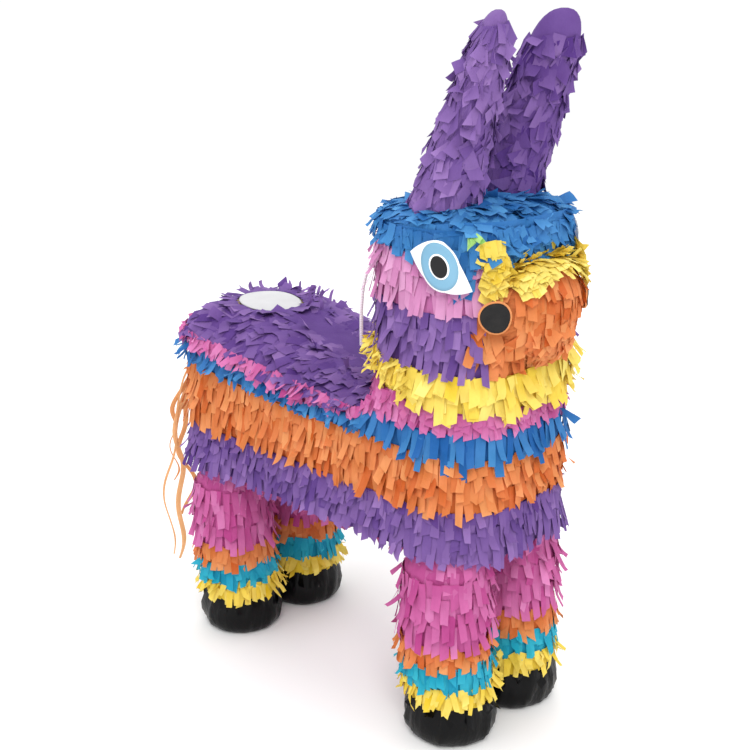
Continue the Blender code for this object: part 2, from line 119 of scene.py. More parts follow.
# Points further out than this are pressed in to it.
WIDEST = size_before[1][0] + 0.0115
UP = np.array((0.0, 0.0, 1.0))
SIDES = (("right", -1), ("left", 1))
COLLAR_WIDTH = 0.027
FRINGE_OFF = 0.0036
LEG_SKIN_OFF = 0.0060
LEG_TAB_OFF = 0.0072
RING_COLUMNS = 72
EAR_COLUMNS = 64
CROWN_EDGE_Z = 0.3850
CROWN_RISE = 0.0345
MUZZLE_ROUND = 2.6
MUZZLE_CLIMB = 0.006
HOLE_CLEAR = 0.0262
LABEL_CLEAR = 0.0400
LABEL_OFF = 0.0023
NOSTRIL_PLACE = (0.0480, -0.1690, 0.3462)
STREAMER_TOP_Z = 0.205
FLOOR_HALF_SIZE = 2.0
WORLD_STRENGTH = 1.02


def smooth(low, high, value):
    """0 below low, 1 above high, and a smooth step between them."""
    t = np.clip((np.asarray(value, float) - low) / (high - low), 0.0, 1.0)
    return t * t * (3.0 - 2.0 * t)


def shoulder_z(y):
    return SHOULDER_Z + SHOULDER_SLOPE * y


def neck_share(y):
    return 1.0 - smooth(-0.085, -0.057, y)


def level(z):
    return lambda y: np.full(np.shape(y), float(z))


purple_low = level(0.1590)
purple_high = level(0.1965)


def orange_high(y):
    return 0.2398 + 0.075 * np.maximum(y, 0.0) - 0.003 * smooth(-0.09, -0.165, y)


def blue_high(y):
    rise = 0.012 * smooth(0.0, -0.075, y) - 0.003 * smooth(-0.075, -0.165, y)
    return np.minimum(0.2480 + 0.13 * np.maximum(y, 0.0) + rise, pink_high(y) - 0.007)


def collar_low(y):
    return 0.2793 + 0.235 * np.maximum(y + 0.09, 0.0) + 0.10 * np.minimum(y + 0.09, 0.0)


def head_middle(y):
    """Border of the head's purple and pink bands, which climbs towards the nape."""
    return 0.3450 + 0.11 * np.maximum(y + 0.115, 0.0)


def crown_low(y):
    """Border of the head's pink band and the blue crown."""
    return 0.3840 + 0.14 * np.maximum(y + 0.115, 0.0)


def pink_high(y):
    torso = shoulder_z(y) + 0.001
    return torso + (collar_low(y) - torso) * neck_share(y)


# --- Camera first, then the hanging cord ---

EYE_POINT = (-0.7062, -0.6996 + MIDDLE_Y, 0.5685)
CAMERA_TURN = 0.7759
CAMERA_DROP = 0.3044
LENS_MM = 60.78


def make_camera():
    camera = bpy.data.objects.new("camera", bpy.data.cameras.new("camera"))
    bpy.context.scene.collection.objects.link(camera)
    camera.data.lens = LENS_MM
    camera.data.sensor_width = 36.0
    camera.location = EYE_POINT
    camera.rotation_euler = (math.pi / 2 - CAMERA_DROP, 0.0, CAMERA_TURN - math.pi / 2)
    bpy.context.scene.camera = camera


make_camera()
bpy.context.scene.view_settings.view_transform = "Standard"


def shift(points):
    """Points of the legs-centred frame, moved into the row's frame."""
    return np.asarray(points, float) + (0.0, MIDDLE_Y, 0.0)


def catmull_rom(points, count):
    """Evenly shared points on a smooth curve through the route's own points."""
    pts = np.asarray(points, float)
    ends = np.vstack((2 * pts[0] - pts[1], pts, 2 * pts[-1] - pts[-2]))
    at = np.linspace(0.0, len(pts) - 1.000001, count + 1)
    i = at.astype(int)
    t = (at - i)[:, None]
    a, b, c, d = ends[i], ends[i + 1], ends[i + 2], ends[i + 3]
    return 0.5 * (2 * b + (c - a) * t + (2 * a - 5 * b + 4 * c - d) * t**2 + (3 * b - a - 3 * c + d) * t**3)


def curve_object(name, points, radius, material):
    """Round cord of this radius along one open spline."""
    data = bpy.data.curves.new(name, "CURVE")
    data.dimensions = "3D"
    data.bevel_depth = radius
    data.bevel_resolution = 3
    data.use_fill_caps = True
    spline = data.splines.new("POLY")
    spline.points.add(len(points) - 1)
    for point, place in zip(spline.points, points):
        point.co = (*map(float, place), 1.0)
    data.materials.append(material)
    obj = bpy.data.objects.new(name, data)
    bpy.context.scene.collection.objects.link(obj)
    return obj


# --- Materials ---


def linear(r, g, b):
    """Scene-linear colour of an sRGB one given in 0 to 255."""
    out = []
    for value in (r, g, b):
        s = value / 255.0
        out.append(s / 12.92 if s <= 0.04045 else ((s + 0.055) / 1.055) ** 2.4)
    return (*out, 1.0)


def new_material(name):
    material = bpy.data.materials.new(name)
    material.use_nodes = True
    tree = material.node_tree
    tree.nodes.clear()
    output = tree.nodes.new("ShaderNodeOutputMaterial")
    shader = tree.nodes.new("ShaderNodeBsdfPrincipled")
    tree.links.new(shader.outputs[0], output.inputs[0])
    return material, tree, shader, output


def add_noise(tree, scale, detail=3.0, stretch=(1.0, 1.0, 1.0)):
    """3-D noise laid in the object's own space."""
    where = tree.nodes.new("ShaderNodeTexCoord")
    mapping = tree.nodes.new("ShaderNodeMapping")
    mapping.inputs["Scale"].default_value = stretch
    noise = tree.nodes.new("ShaderNodeTexNoise")
    noise.inputs["Scale"].default_value = scale
    noise.inputs["Detail"].default_value = detail
    tree.links.new(where.outputs["Object"], mapping.inputs["Vector"])
    tree.links.new(mapping.outputs["Vector"], noise.inputs["Vector"])
    return noise.outputs["Fac"]


def add_range(tree, value, low, high):
    node = tree.nodes.new("ShaderNodeMapRange")
    node.inputs["To Min"].default_value = low
    node.inputs["To Max"].default_value = high
    node.inputs["From Min"].default_value = 0.25
    node.inputs["From Max"].default_value = 0.75
    tree.links.new(value, node.inputs["Value"])
    return node.outputs["Result"]


def add_mix(tree, share, first, second):
    node = tree.nodes.new("ShaderNodeMix")
    node.data_type = "RGBA"
    for socket, value in ((node.inputs[6], first), (node.inputs[7], second)):
        if isinstance(value, tuple):
            socket.default_value = value
        else:
            tree.links.new(value, socket)
    tree.links.new(share, node.inputs[0])
    return node.outputs[2]


def add_bump(tree, height, strength, distance, shader):
    bump = tree.nodes.new("ShaderNodeBump")
    bump.inputs["Strength"].default_value = strength
    bump.inputs["Distance"].default_value = distance
    tree.links.new(height, bump.inputs["Height"])
    tree.links.new(bump.outputs["Normal"], shader.inputs["Normal"])
    return bump


def tissue(name, deep, pale, see_through=0.22, rough=0.78, gloss=0.28):
    """Crepe tissue paper: each tab has its own shade, faint mottling, fine creases and some light coming
    through it. The tint attribute it reads also carries painted shade and light: darker skins under the
    fringe, darker tab roots, and one ear paler than the other."""
    material, tree, shader, output = new_material(name)
    tint = tree.nodes.new("ShaderNodeAttribute")
    tint.attribute_name = "tint"
    mottle = add_range(tree, add_noise(tree, 55.0, 4.0), 0.0, 1.0)
    own = add_mix(tree, tint.outputs["Fac"], deep, pale)
    darker = tree.nodes.new("ShaderNodeHueSaturation")
    darker.inputs["Value"].default_value = 0.80
    darker.inputs["Saturation"].default_value = 1.06
    tree.links.new(own, darker.inputs["Color"])
    colour = add_mix(tree, mottle, own, darker.outputs[0])
    tree.links.new(colour, shader.inputs["Base Color"])
    shader.inputs["Roughness"].default_value = rough
    shader.inputs["Specular IOR Level"].default_value = gloss
    creases = add_noise(tree, 420.0, 4.0, (1.0, 1.0, 0.35))
    bump = add_bump(tree, creases, 0.38, 0.0012, shader)
    through = tree.nodes.new("ShaderNodeBsdfTranslucent")
    tree.links.new(colour, through.inputs["Color"])
    tree.links.new(bump.outputs["Normal"], through.inputs["Normal"])
    both = tree.nodes.new("ShaderNodeMixShader")
    both.inputs[0].default_value = see_through
    tree.links.new(shader.outputs[0], both.inputs[1])
    tree.links.new(through.outputs[0], both.inputs[2])
    tree.links.new(both.outputs[0], output.inputs[0])
    return material


def paper(name, deep, pale, scale=90.0, rough=0.7, bump=0.25, depth=0.0006, detail=5.0):
    """Plain paper or card, with a slight mottle and its own fibre grain."""
    material, tree, shader, _ = new_material(name)
    mottle = add_range(tree, add_noise(tree, scale, detail), 0.0, 1.0)
    tree.links.new(add_mix(tree, mottle, deep, pale), shader.inputs["Base Color"])
    shader.inputs["Roughness"].default_value = rough
    shader.inputs["Specular IOR Level"].default_value = 0.3
    add_bump(tree, add_noise(tree, scale * 6, 3.0), bump, depth, shader)
    return material


TISSUE = {
    "purple": tissue("tissue_purple", linear(84, 50, 130), linear(156, 122, 186)),
    "pink": tissue("tissue_pink", linear(186, 70, 140), linear(228, 146, 198)),
    "blue": tissue("tissue_blue", linear(34, 96, 168), linear(94, 162, 218)),
    "orange": tissue("tissue_orange", linear(206, 98, 46), linear(242, 168, 112)),
    "yellow": tissue("tissue_yellow", linear(238, 202, 58), linear(249, 231, 132), 0.16),
    "cyan": tissue("tissue_cyan", linear(18, 148, 186), linear(74, 196, 214)),
    "lilac": tissue("tissue_pale_pink", linear(188, 98, 160), linear(228, 170, 210)),
    "black": tissue("tissue_black", linear(3, 3, 4), linear(13, 13, 15), 0.02, 0.32, 0.16),
    "green": tissue("tissue_green", linear(150, 208, 116), linear(206, 236, 160)),
}
CARD = paper("card_board", linear(150, 126, 98), linear(176, 152, 122), 60.0, 0.85)
LABEL = paper("label_paper", linear(174, 174, 176), linear(188, 188, 190), 40.0, 0.45, 0.12, 0.0003)
EYE_WHITE = paper("eye_white_paper", linear(236, 238, 240), linear(250, 250, 250), 30.0, 0.5, 0.1, 0.0003)
EYE_IRIS = paper("eye_iris_paper", linear(106, 152, 180), linear(122, 168, 194), 30.0, 0.5, 0.1, 0.0003)
INK = paper("eye_ink_paper", linear(14, 14, 16), linear(24, 24, 26), 40.0, 0.5, 0.1, 0.0003)
NOSTRIL = paper("nostril_paper", linear(12, 12, 14), linear(30, 28, 28), 120.0, 0.7, 0.4, 0.0008)
STREAMER = tissue("streamer_paper", linear(220, 144, 88), linear(238, 190, 142), 0.35)


def cord_material():
    """Twisted white nylon string with a faint pink tinge."""
    material, tree, shader, _ = new_material("cord_nylon")
    where = tree.nodes.new("ShaderNodeTexCoord")
    twist = tree.nodes.new("ShaderNodeTexWave")
    twist.bands_direction = "DIAGONAL"
    twist.inputs["Scale"].default_value = 320.0
    twist.inputs["Distortion"].default_value = 0.6
    tree.links.new(where.outputs["Object"], twist.inputs["Vector"])
    tree.links.new(
        add_mix(tree, twist.outputs["Fac"], linear(246, 222, 236), linear(255, 252, 254)),
        shader.inputs["Base Color"],
    )
    shader.inputs["Roughness"].default_value = 0.42
    shader.inputs["Transmission Weight"].default_value = 0.05
    add_bump(tree, twist.outputs["Fac"], 0.5, 0.0005, shader)
    return material


CORD = cord_material()
CORD_ROUTE = (
    (0.0, -0.0420, 0.3680),
    (0.0, -0.0340, 0.3676),
    (0.0, -0.0220, 0.3650),
    (0.0, -0.0090, 0.3570),
    (0.0, 0.0010, 0.3450),
    (0.0, 0.0065, 0.3290),
    (0.0, 0.0085, 0.3130),
    (0.0, 0.0090, 0.2980),
    (0.0, 0.0090, 0.2885),
    (0.0, 0.0090, 0.2800),
)


def make_cord():
    points = shift(catmull_rom(CORD_ROUTE, 60))
    cord = curve_object("hanging_cord", points, CORD_RADIUS, CORD)
    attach(cord, "body")
    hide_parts("hang_cord")


make_cord()

# --- Mesh helpers ---


def unit(v):
    return v / np.maximum(np.linalg.norm(v, axis=-1, keepdims=True), 1e-9)


def circle(count, offset=0.0):
    """Angles in even steps round a circle, each moved by its offset in steps."""
    return (np.arange(count) + offset) * 2 * np.pi / count


def straight_down(count):
    return np.tile(-UP, (count, 1))


def mesh_object(name, verts, faces, material, tint, body):
    """Object of these legs-centred points and faces, riding on a body."""
    mesh = bpy.data.meshes.new(name)
    verts[:, 0] = np.clip(verts[:, 0], -WIDEST, WIDEST)
    mesh.from_pydata(shift(verts).tolist(), [], faces.tolist())
    shades = mesh.attributes.new("tint", "FLOAT", "POINT")
    shades.data.foreach_set("value", tint.astype(np.float32))
    mesh.polygons.foreach_set("use_smooth", [True] * len(mesh.polygons))
    mesh.materials.append(material)
    mesh.update()
    obj = bpy.data.objects.new(name, mesh)
    bpy.context.scene.collection.objects.link(obj)
    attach(obj, body)
    return obj


class Paper:
    """Gathers sheets of thin paper that become one piece."""

    def __init__(self, seed):
        self.rng = np.random.default_rng(seed)
        self.verts = []
        self.faces = []
        self.tint = []
        self.count = 0

    def add_grid(self, points, tint, wrap=False):
        """Grid of points, given as rows of (columns, 3), with one tint."""
        points = np.stack(points)
        rows, columns, _ = points.shape
        index = np.arange(rows * columns).reshape(rows, columns) + self.count
        if wrap:
            index = np.hstack((index, index[:, :1]))
        quads = np.stack((index[:-1, :-1], index[:-1, 1:], index[1:, 1:], index[1:, :-1]), axis=-1)
        self.verts.append(points.reshape(-1, 3))
        self.faces.append(quads.reshape(-1, 4))
        self.tint.append(np.broadcast_to(tint, (rows, columns)).reshape(-1))
        self.count += rows * columns

    def add_tabs(self, root, out, down, length, width, **look):
        """Cut tissue tabs, one for each root point.

        out is the way off the card and down the way a tab hangs. lift is the angle in degrees
        between a tab and the card, curl what it gains by its tip, lean its tilt to the side, twist
        its turn about its own length, and wild the share that stands up out of the row."""
        rng = self.rng
        n = len(root)
        lift = rng.normal(look.get("lift", 8.0), look.get("lift_spread", 4.0), n)
        lift = np.maximum(lift, look.get("least_lift", 2.0))
        curl = rng.normal(look.get("curl", 3.0), look.get("curl_spread", 13.0), n)
        calm = look["calm"](root) if "calm" in look else np.zeros(n, bool)
        lift = np.where(calm, np.minimum(lift, 5.0), lift)
        wild = (rng.random(n) < look.get("wild", 0.025)) & ~calm
        lift = np.where(wild, rng.uniform(35.0, look.get("wild_lift", 58.0), n), lift)
        lean = rng.normal(0.0, look.get("lean", 6.0), n) + np.where(wild, rng.normal(0, 18, n), 0.0)
        twist = rng.normal(0.0, look.get("twist", 12.0), n) * np.where(wild, 2.2, 1.0)
        length = np.asarray(length) * rng.normal(1.0, look.get("length_spread", 0.08), n)
        length = np.where(wild, 0.65 * length, length)
        width = np.asarray(width) * rng.uniform(0.82, 1.12, n)
        cup = rng.normal(0.0, 0.0007, n)
        skew = rng.normal(0.0, 0.0014, n)
        taper = rng.uniform(look.get("taper", 0.86), 1.0, n)
        tone = np.clip(rng.normal(look.get("tone", 0.45), 0.20, n), 0.0, 1.0)
        steps = look.get("steps", 6)
        side = unit(np.cross(down, out))
        lean = np.radians(lean)[:, None]
        fall = unit(down * np.cos(lean) + side * np.sin(lean))
        side = unit(np.cross(fall, out))
        start = root.copy()
        rows = []
        tints = []
        across = np.array((-0.5, 0.0, 0.5))
        bend_at = rng.uniform(0.35, 0.8, n)
        kink = rng.normal(0.0, look.get("kink", 9.0), n) * np.where(calm, 0.2, 1.0)
        for k in range(steps + 1):
            share = k / steps
            angle = lift + curl * share**2 + kink * (share > bend_at)
            angle = np.maximum(angle, np.where(share < 0.5, 1.5, -12.0))
            angle = np.radians(angle)[:, None]
            heading = fall * np.cos(angle) + out * np.sin(angle)
            if k:
                start = start + heading * (length / steps)[:, None]
            normal = unit(np.cross(side, heading))
            normal = np.where((normal * out).sum(1, keepdims=True) < 0, -normal, normal)
            turn = np.radians(twist * share**1.3)[:, None]
            axis = unit(side * np.cos(turn) + normal * np.sin(turn))
            half = width * (1.0 - (1.0 - taper) * share)
            row = start[:, None, :] + axis[:, None, :] * (half[:, None] * across)[:, :, None]
            row = row + heading[:, None, :] * (skew[:, None] * share * np.array((-1.0, 0.0, 1.0)))[:, :, None]
            middle = np.array((0.0, 1.0, 0.0))
            row = row + normal[:, None, :] * (cup[:, None] * (0.3 + share) * middle)[:, :, None]
            rows.append(row)
            # Each tab is darker at its glued root, under the row above, and paler towards its tip: painted
            # shade.
            tints.append(np.repeat((tone * (0.72 + 0.28 * share) + 0.10 * share)[:, None], 3, axis=1))
        grid = np.stack(rows, axis=1)
        shade = np.stack(tints, axis=1)
        count = (steps + 1) * 3
        base = np.arange(n)[:, None, None] * count + self.count
        i, j = np.meshgrid(np.arange(steps), np.arange(2), indexing="ij")
        corner = (i * 3 + j).reshape(1, -1, 1)
        quads = base + corner + np.array((0, 1, 4, 3)).reshape(1, 1, 4)
        self.verts.append(grid.reshape(-1, 3))
        self.faces.append(quads.reshape(-1, 4))
        self.tint.append(np.clip(shade, 0.0, 1.0).reshape(-1))
        self.count += n * count

    def build(self, name, material, body="body", nodes=()):
        tint = np.concatenate(self.tint)
        obj = mesh_object(name, np.vstack(self.verts), np.vstack(self.faces), material, tint, body)
        if nodes:
            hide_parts(*nodes)

    def build_tissue(self, name, colour, *nodes, slot=None, body="body"):
        self.build(name, TISSUE[colour], body, nodes)


# --- Surfaces: each gives points, the way off the card and the way down it ---


class Plan:
    """Rounded rectangle seen from above. u runs from 0 to 1, anticlockwise from the middle of the
    rear: the right flank comes first, then the front at 0.5, then the left flank."""

    def __init__(self, front, rear, half_width, corner):
        x = half_width - corner
        quarter = np.radians(np.arange(0, 91, 3.0))
        parts = []
        for cx, cy, start in (
            (-x, rear - corner, 90),
            (-x, front + corner, 180),
            (x, front + corner, 270),
            (x, rear - corner, 360),
        ):
            turn = np.radians(start) + quarter
            normal = np.stack((np.cos(turn), np.sin(turn)), axis=1)
            parts.append((np.array((cx, cy)) + corner * normal, normal))
        first = (np.array([[0.0, rear]]), np.array([[0.0, 1.0]]))
        points = np.vstack([first[0]] + [p for p, _ in parts] + [first[0]])
        normals = np.vstack([first[1]] + [n for _, n in parts] + [first[1]])
        run = np.concatenate(((0.0,), np.cumsum(np.linalg.norm(np.diff(points, axis=0), axis=1))))
        self.length = run[-1]
        self.share = run / run[-1]
        self.points = points
        self.normals = normals

    def at(self, u):
        u = np.mod(u, 1.0)
        place = np.stack([np.interp(u, self.share, self.points[:, k]) for k in (0, 1)], axis=-1)
        normal = unit(np.stack([np.interp(u, self.share, self.normals[:, k]) for k in (0, 1)], axis=-1))
        return place, normal


BODY_PLAN = Plan(CHEST_Y, RUMP_Y, HALF_WIDTH, CORNER)
HEAD_PLAN = Plan(CHEST_Y, NAPE_Y, HALF_WIDTH, CORNER)


def wall_points(plan, u, height, grow):
    """Points on a wall at u. height is a function of Y, and grow how far they stand off the card."""
    place, normal = plan.at(u)
    z = height(place[:, 1])
    out = np.column_stack((normal, np.zeros(len(normal))))
    points = np.column_stack((place, z)) + out * np.asarray(grow).reshape(-1, 1)
    return points, out


def wall_row(sheet, plan, height, tips, pitch, width, grow=0.003, keep=None, **look):
    """One row of tabs right round a wall. height gives where they are glued and tips where they
    end, both from Y."""
    count = int(plan.length / pitch)
    u = (np.arange(count) + sheet.rng.uniform(-0.28, 0.28, count)) / count
    points, out = wall_points(plan, u, height, grow)
    length = np.maximum(points[:, 2] - tips(points[:, 1]), look.get("least_length", 0.008))
    points[:, 2] += sheet.rng.normal(0.0, look.get("ragged", 0.0009), count)
    if keep is not None:
        chosen = keep(points)
        points, out, length = points[chosen], out[chosen], length[chosen]
    down = straight_down(len(points))
    sheet.add_tabs(points, out, down, length, width, **look)


def band_rows(sheet, plan, low, high, rows, pitch=0.0052, width=0.0068, overlap=1.8, **look):
    """Rows of tabs that fill a band from the bottom row up, each hiding the next one's glued edge."""
    for k in range(rows):
        tip = k / rows
        glued = min(tip + overlap / rows, 1.0)
        over = 0.0008 if k else 0.0022
        wall_row(
            sheet, plan, blend_heights(low, high, glued), raised(blend_heights(low, high, tip), -over),
            pitch, width, **look,
        )


def wall_skin(sheet, plan, low, high, tone=0.16, grow=0.0025, columns=220, rows=6, keep=None):
    """Crumpled tissue glued flat on the wall, under the fringe. Its tone lies below the tabs' so that it
    shows as painted shade in the gaps between them.
    """
    u = np.arange(columns) / columns
    grid = []
    for k in range(rows + 1):
        share = k / rows
        crumple = grow + sheet.rng.uniform(-0.0007, 0.0007, columns)
        top, _ = wall_points(plan, u, high, crumple)
        bottom, _ = wall_points(plan, u, low, crumple)
        grid.append(top + (bottom - top) * share)
    grid = np.stack(grid)
    if keep is None:
        sheet.add_grid(grid, tone, wrap=True)
        return
    chosen = keep(grid[0])
    start = int(np.argmin(chosen)) if not chosen.all() else 0
    order = (np.arange(columns) + start) % columns
    kept = order[chosen[order]]
    sheet.add_grid(grid[:, kept], tone)


def raised(height, amount):
    return lambda y: height(y) + amount


def blend_heights(low, high, share):
    return lambda y: low(y) + (high(y) - low(y)) * share


# --- Fringe bands round the body ---

def ahead_of(limit):
    return lambda points: points[:, 1] < limit


def behind(limit):
    return lambda points: points[:, 1] > limit


def over_legs(points):
    """True where a body tab hangs over the top of a leg."""
    return (np.abs(points[:, 0]) > 0.012) & (np.abs(points[:, 1]) > 0.090)


def body_bands():
    for seed, colour, low, high in (
        (11, "purple", purple_low, purple_high),
        (12, "orange", purple_high, orange_high),
    ):
        sheet = Paper(seed)
        wall_skin(sheet, BODY_PLAN, low, high)
        if colour == "purple":
            wall_row(
                sheet, BODY_PLAN, level(0.181), level(0.1565), 0.0050, 0.0070, 0.0045, keep=over_legs,
                lift=14, lift_spread=3, curl=-6, curl_spread=6, wild=0.0,
            )
        band_rows(sheet, BODY_PLAN, low, high, 4, grow=FRINGE_OFF)
        sheet.build_tissue(f"{colour}_body_fringe", colour, f"body_fringe_{colour}")
    blue = Paper(13)
    wall_skin(blue, BODY_PLAN, orange_high, blue_high)

    def long_ones(points):
        return (points[:, 1] < -0.10) & (blue.rng.random(len(points)) < 0.22)

    top = raised(blue_high, 0.001)
    wall_row(
        blue, BODY_PLAN, top, raised(orange_high, -0.002), 0.0052, 0.0068, 0.0040, keep=ahead_of(-0.07),
        lift=9, tone=0.2,
    )
    for grow in (0.0034, 0.0048):
        wall_row(
            blue, BODY_PLAN, top, raised(orange_high, -0.0015), 0.0056, 0.0062, grow, keep=behind(-0.07),
            lift=20, lift_spread=13, lean=17, wild=0.20, kink=22, taper=0.6, least_length=0.011,
        )
    wall_row(
        blue, BODY_PLAN, blend_heights(orange_high, blue_high, 0.7), raised(orange_high, -0.012), 0.0058,
        0.0072, 0.0050, keep=long_ones, lift=8, curl=-5, wild=0.0, tone=0.25,
    )
    blue.build_tissue("blue_body_fringe", "blue", "body_fringe_blue")
    pink = Paper(14)
    wall_skin(pink, BODY_PLAN, blue_high, pink_high)
    for grow in (0.0034, 0.0050):
        wall_row(
            pink, BODY_PLAN, raised(pink_high, 0.001), raised(blue_high, -0.0015), 0.0056, 0.0064, grow,
            keep=behind(-0.078), lift=23, lift_spread=14, lean=18, wild=0.22, kink=24, taper=0.6,
            least_length=0.011,
        )
    band_rows(
        pink, BODY_PLAN, blue_high, pink_high, 3, keep=ahead_of(-0.070), grow=FRINGE_OFF, lift=10,
        width=0.0072,
    )
    shoulder = level(0.2640)
    nape = behind(-0.10)
    wall_skin(pink, HEAD_PLAN, shoulder, raised(collar_low, 0.002), keep=nape)
    band_rows(
        pink, HEAD_PLAN, shoulder, raised(collar_low, 0.002), 2, keep=nape, grow=FRINGE_OFF, lift=14,
        wild=0.1,
    )
    pink.build_tissue("pink_body_fringe", "pink", "body_fringe_pink")


def open_cheeks(points):
    """Keeps the head's fringe off the muzzle and the face in front."""
    return ~((np.abs(points[:, 0]) < MUZZLE_HALF_WIDTH + 0.006) & (points[:, 1] < -0.13))


def beside_eye(root):
    """True where a tab starts close to an eye, and so lies flat."""
    x, y, z = root.T
    return (np.abs(x) > 0.040) & (y < -0.095) & (z > 0.352) & (z < 0.420)


def collar():
    sheet = Paper(21)
    high = raised(collar_low, COLLAR_WIDTH)
    wall_skin(sheet, HEAD_PLAN, collar_low, high, tone=0.35)

    def far_front(points):
        return (points[:, 0] > 0.024) & (points[:, 1] < -0.125)

    for share, tip, grow in (
        (0.40, -0.05, 0.0036), (0.72, 0.20, 0.0042), (1.0, 0.48, 0.0048), (0.95, 0.30, 0.006),
    ):
        wall_row(
            sheet, HEAD_PLAN, blend_heights(collar_low, high, share), blend_heights(collar_low, high, tip),
            0.0048, 0.0046, grow, keep=behind(-0.116), lift=30, lift_spread=18, lean=24, wild=0.32,
            wild_lift=100, taper=0.45, kink=24, least_length=0.014, tone=0.6,
        )
    for share, tip in ((0.55, -0.12), (1.0, 0.38)):
        for grow in (0.0038, 0.0054):
            wall_row(
                sheet, HEAD_PLAN, blend_heights(collar_low, high, share),
                blend_heights(collar_low, high, tip), 0.0074, 0.0088, grow, keep=ahead_of(-0.108), lift=14,
                lift_spread=8, lean=9, wild=0.06, kink=17, length_spread=0.14, tone=0.6,
            )
    for rise, tip in ((0.036, 0.014), (0.043, 0.021)):
        wall_row(
            sheet, HEAD_PLAN, raised(collar_low, rise), raised(collar_low, tip), 0.0062, 0.0085, 0.0062,
            keep=far_front, lift=15, lift_spread=8, lean=12, wild=0.05, kink=17, tone=0.6,
        )
    sheet.build_tissue("yellow_collar_fringe", "yellow", "collar_fringe_yellow")


def head_bands():
    purple = Paper(22)
    low = raised(collar_low, COLLAR_WIDTH)
    wall_skin(purple, HEAD_PLAN, raised(collar_low, 0.025), head_middle, keep=open_cheeks)
    band_rows(purple, HEAD_PLAN, low, head_middle, 4, keep=open_cheeks, grow=FRINGE_OFF, tone=0.58)
    purple.build_tissue("purple_head_fringe", "purple", "head_fringe_purple")
    pink = Paper(23)
    wall_skin(pink, HEAD_PLAN, head_middle, crown_low, keep=open_cheeks)
    band_rows(
        pink, HEAD_PLAN, head_middle, crown_low, 3, keep=open_cheeks, grow=FRINGE_OFF, calm=beside_eye,
        tone=0.6,
    )
    pink.build_tissue("pink_head_fringe", "lilac", "head_fringe_pink", slot="pink")


def crown_z(x, y):
    """Height of the rounded top of the head."""
    middle = (CHEST_Y + NAPE_Y) / 2
    across = np.abs(x) / (HALF_WIDTH + 0.005)
    along = np.abs(y - middle) / (NAPE_Y - middle + 0.005)
    out = (across**3 + along**3) ** (1 / 3)
    return CROWN_EDGE_Z + CROWN_RISE * np.sin(np.clip(1.0 - out, 0.0, 1.0) ** 0.34 * math.pi / 2)


def crown_row(rise):
    return lambda y: np.minimum(crown_low(y) + rise, 0.4075)


def crown():
    """Blue tissue over the top of the head: a folded, domed cap with a fringe round its sides."""
    sheet = Paper(24)
    wall_skin(sheet, HEAD_PLAN, raised(crown_low, -0.001), level(0.404), tone=0.25)
    for glued, tip, grow in ((0.0090, -0.0040, 0.0040), (0.0170, 0.0030, 0.0036), (0.0235, 0.0090, 0.0010)):
        wall_row(
            sheet, HEAD_PLAN, crown_row(glued), crown_row(tip), 0.0058, 0.0078, grow, lift=12, lift_spread=8,
            wild=0.10, lean=13, kink=16, calm=beside_eye,
        )
    u = np.arange(180) / 180
    place, normal = HEAD_PLAN.at(u)
    middle = np.array((0.0, (CHEST_Y + NAPE_Y) / 2))
    for share, count in ((0.02, 84), (0.10, 76)):
        rim, rim_out = HEAD_PLAN.at((np.arange(count) + sheet.rng.uniform(-0.3, 0.3, count)) / count)
        spot = middle + (rim + rim_out * 0.001 - middle) * (1.0 - share)
        root = np.column_stack((spot, crown_z(spot[:, 0], spot[:, 1]) + 0.0006))
        out = unit(np.column_stack((rim_out, np.full(count, 0.2))))
        down = unit(np.column_stack((rim_out * 0.2, np.full(count, -1.0))))
        clear = ~beside_eye(root - (0.0, 0.0, 0.012))
        sheet.add_tabs(
            root[clear], out[clear], down[clear], 0.0120, 0.0095, lift=5, lift_spread=5, lean=24, wild=0.05,
            kink=14, tone=0.5,
        )
    grid = []
    for k in range(13):
        share = k / 12
        rim = place + normal * 0.004
        ring = middle + (rim - middle) * (1.0 - share)
        folds = 0.0016 * np.sin(u * 2 * np.pi * 23 + 2.2 * share) + 0.0011 * np.sin(u * 2 * np.pi * 51)
        z = crown_z(ring[:, 0], ring[:, 1]) - 0.001 + folds * min(1.0, 3 * share) * (1 - 0.5 * share)
        grid.append(np.column_stack((ring, z)))
    # Dome under the flat crown tabs, toned below them as painted shade in the gaps.
    sheet.add_grid(grid, 0.25, wrap=True)
    rng = sheet.rng
    count = 330
    x = rng.uniform(-0.058, 0.058, count)
    y = rng.uniform(CHEST_Y + 0.010, NAPE_Y - 0.008, count)
    inside = (np.abs(x) / 0.062) ** 3 + (np.abs(y - middle[1]) / 0.052) ** 3 < 1.0
    x, y = x[inside], y[inside]
    step = 0.001
    slope_x = (crown_z(x + step, y) - crown_z(x - step, y)) / (2 * step)
    slope_y = (crown_z(x, y + step) - crown_z(x, y - step)) / (2 * step)
    out = unit(np.column_stack((-slope_x, -slope_y, np.ones(len(x)))))
    root = np.column_stack((x, y, crown_z(x, y)))
    away = unit(np.column_stack((x, (y - middle[1]) * 1.3, np.zeros(len(x)))))
    away = unit(away - out * (away * out).sum(1, keepdims=True))
    sheet.add_tabs(
        root, out, away, 0.0165, 0.0115, lift=3, lift_spread=4, lean=30, wild=0.02, kink=12, curl=-12,
        tone=0.5, least_lift=1.0,
    )
    sheet.build_tissue("blue_crown_fringe", "blue", "crown_fringe_blue")


# --- Saddle over the back ---


def back_half_width(y):
    past = np.clip(y - (RUMP_Y - CORNER), 0.0, CORNER)
    return HALF_WIDTH - CORNER + np.sqrt(CORNER**2 - past**2)


def back_height(x, y):
    across = np.minimum(np.abs(x) / back_half_width(y), 1.0)
    along = np.clip((y - 0.115) / (RUMP_Y - 0.115), 0.0, 1.0)
    rise = LOW_RISE + HUMP_RISE * smooth(-0.03, 0.10, y)
    return shoulder_z(y) + rise * (1.0 - across**4) * (1.0 - along**4)


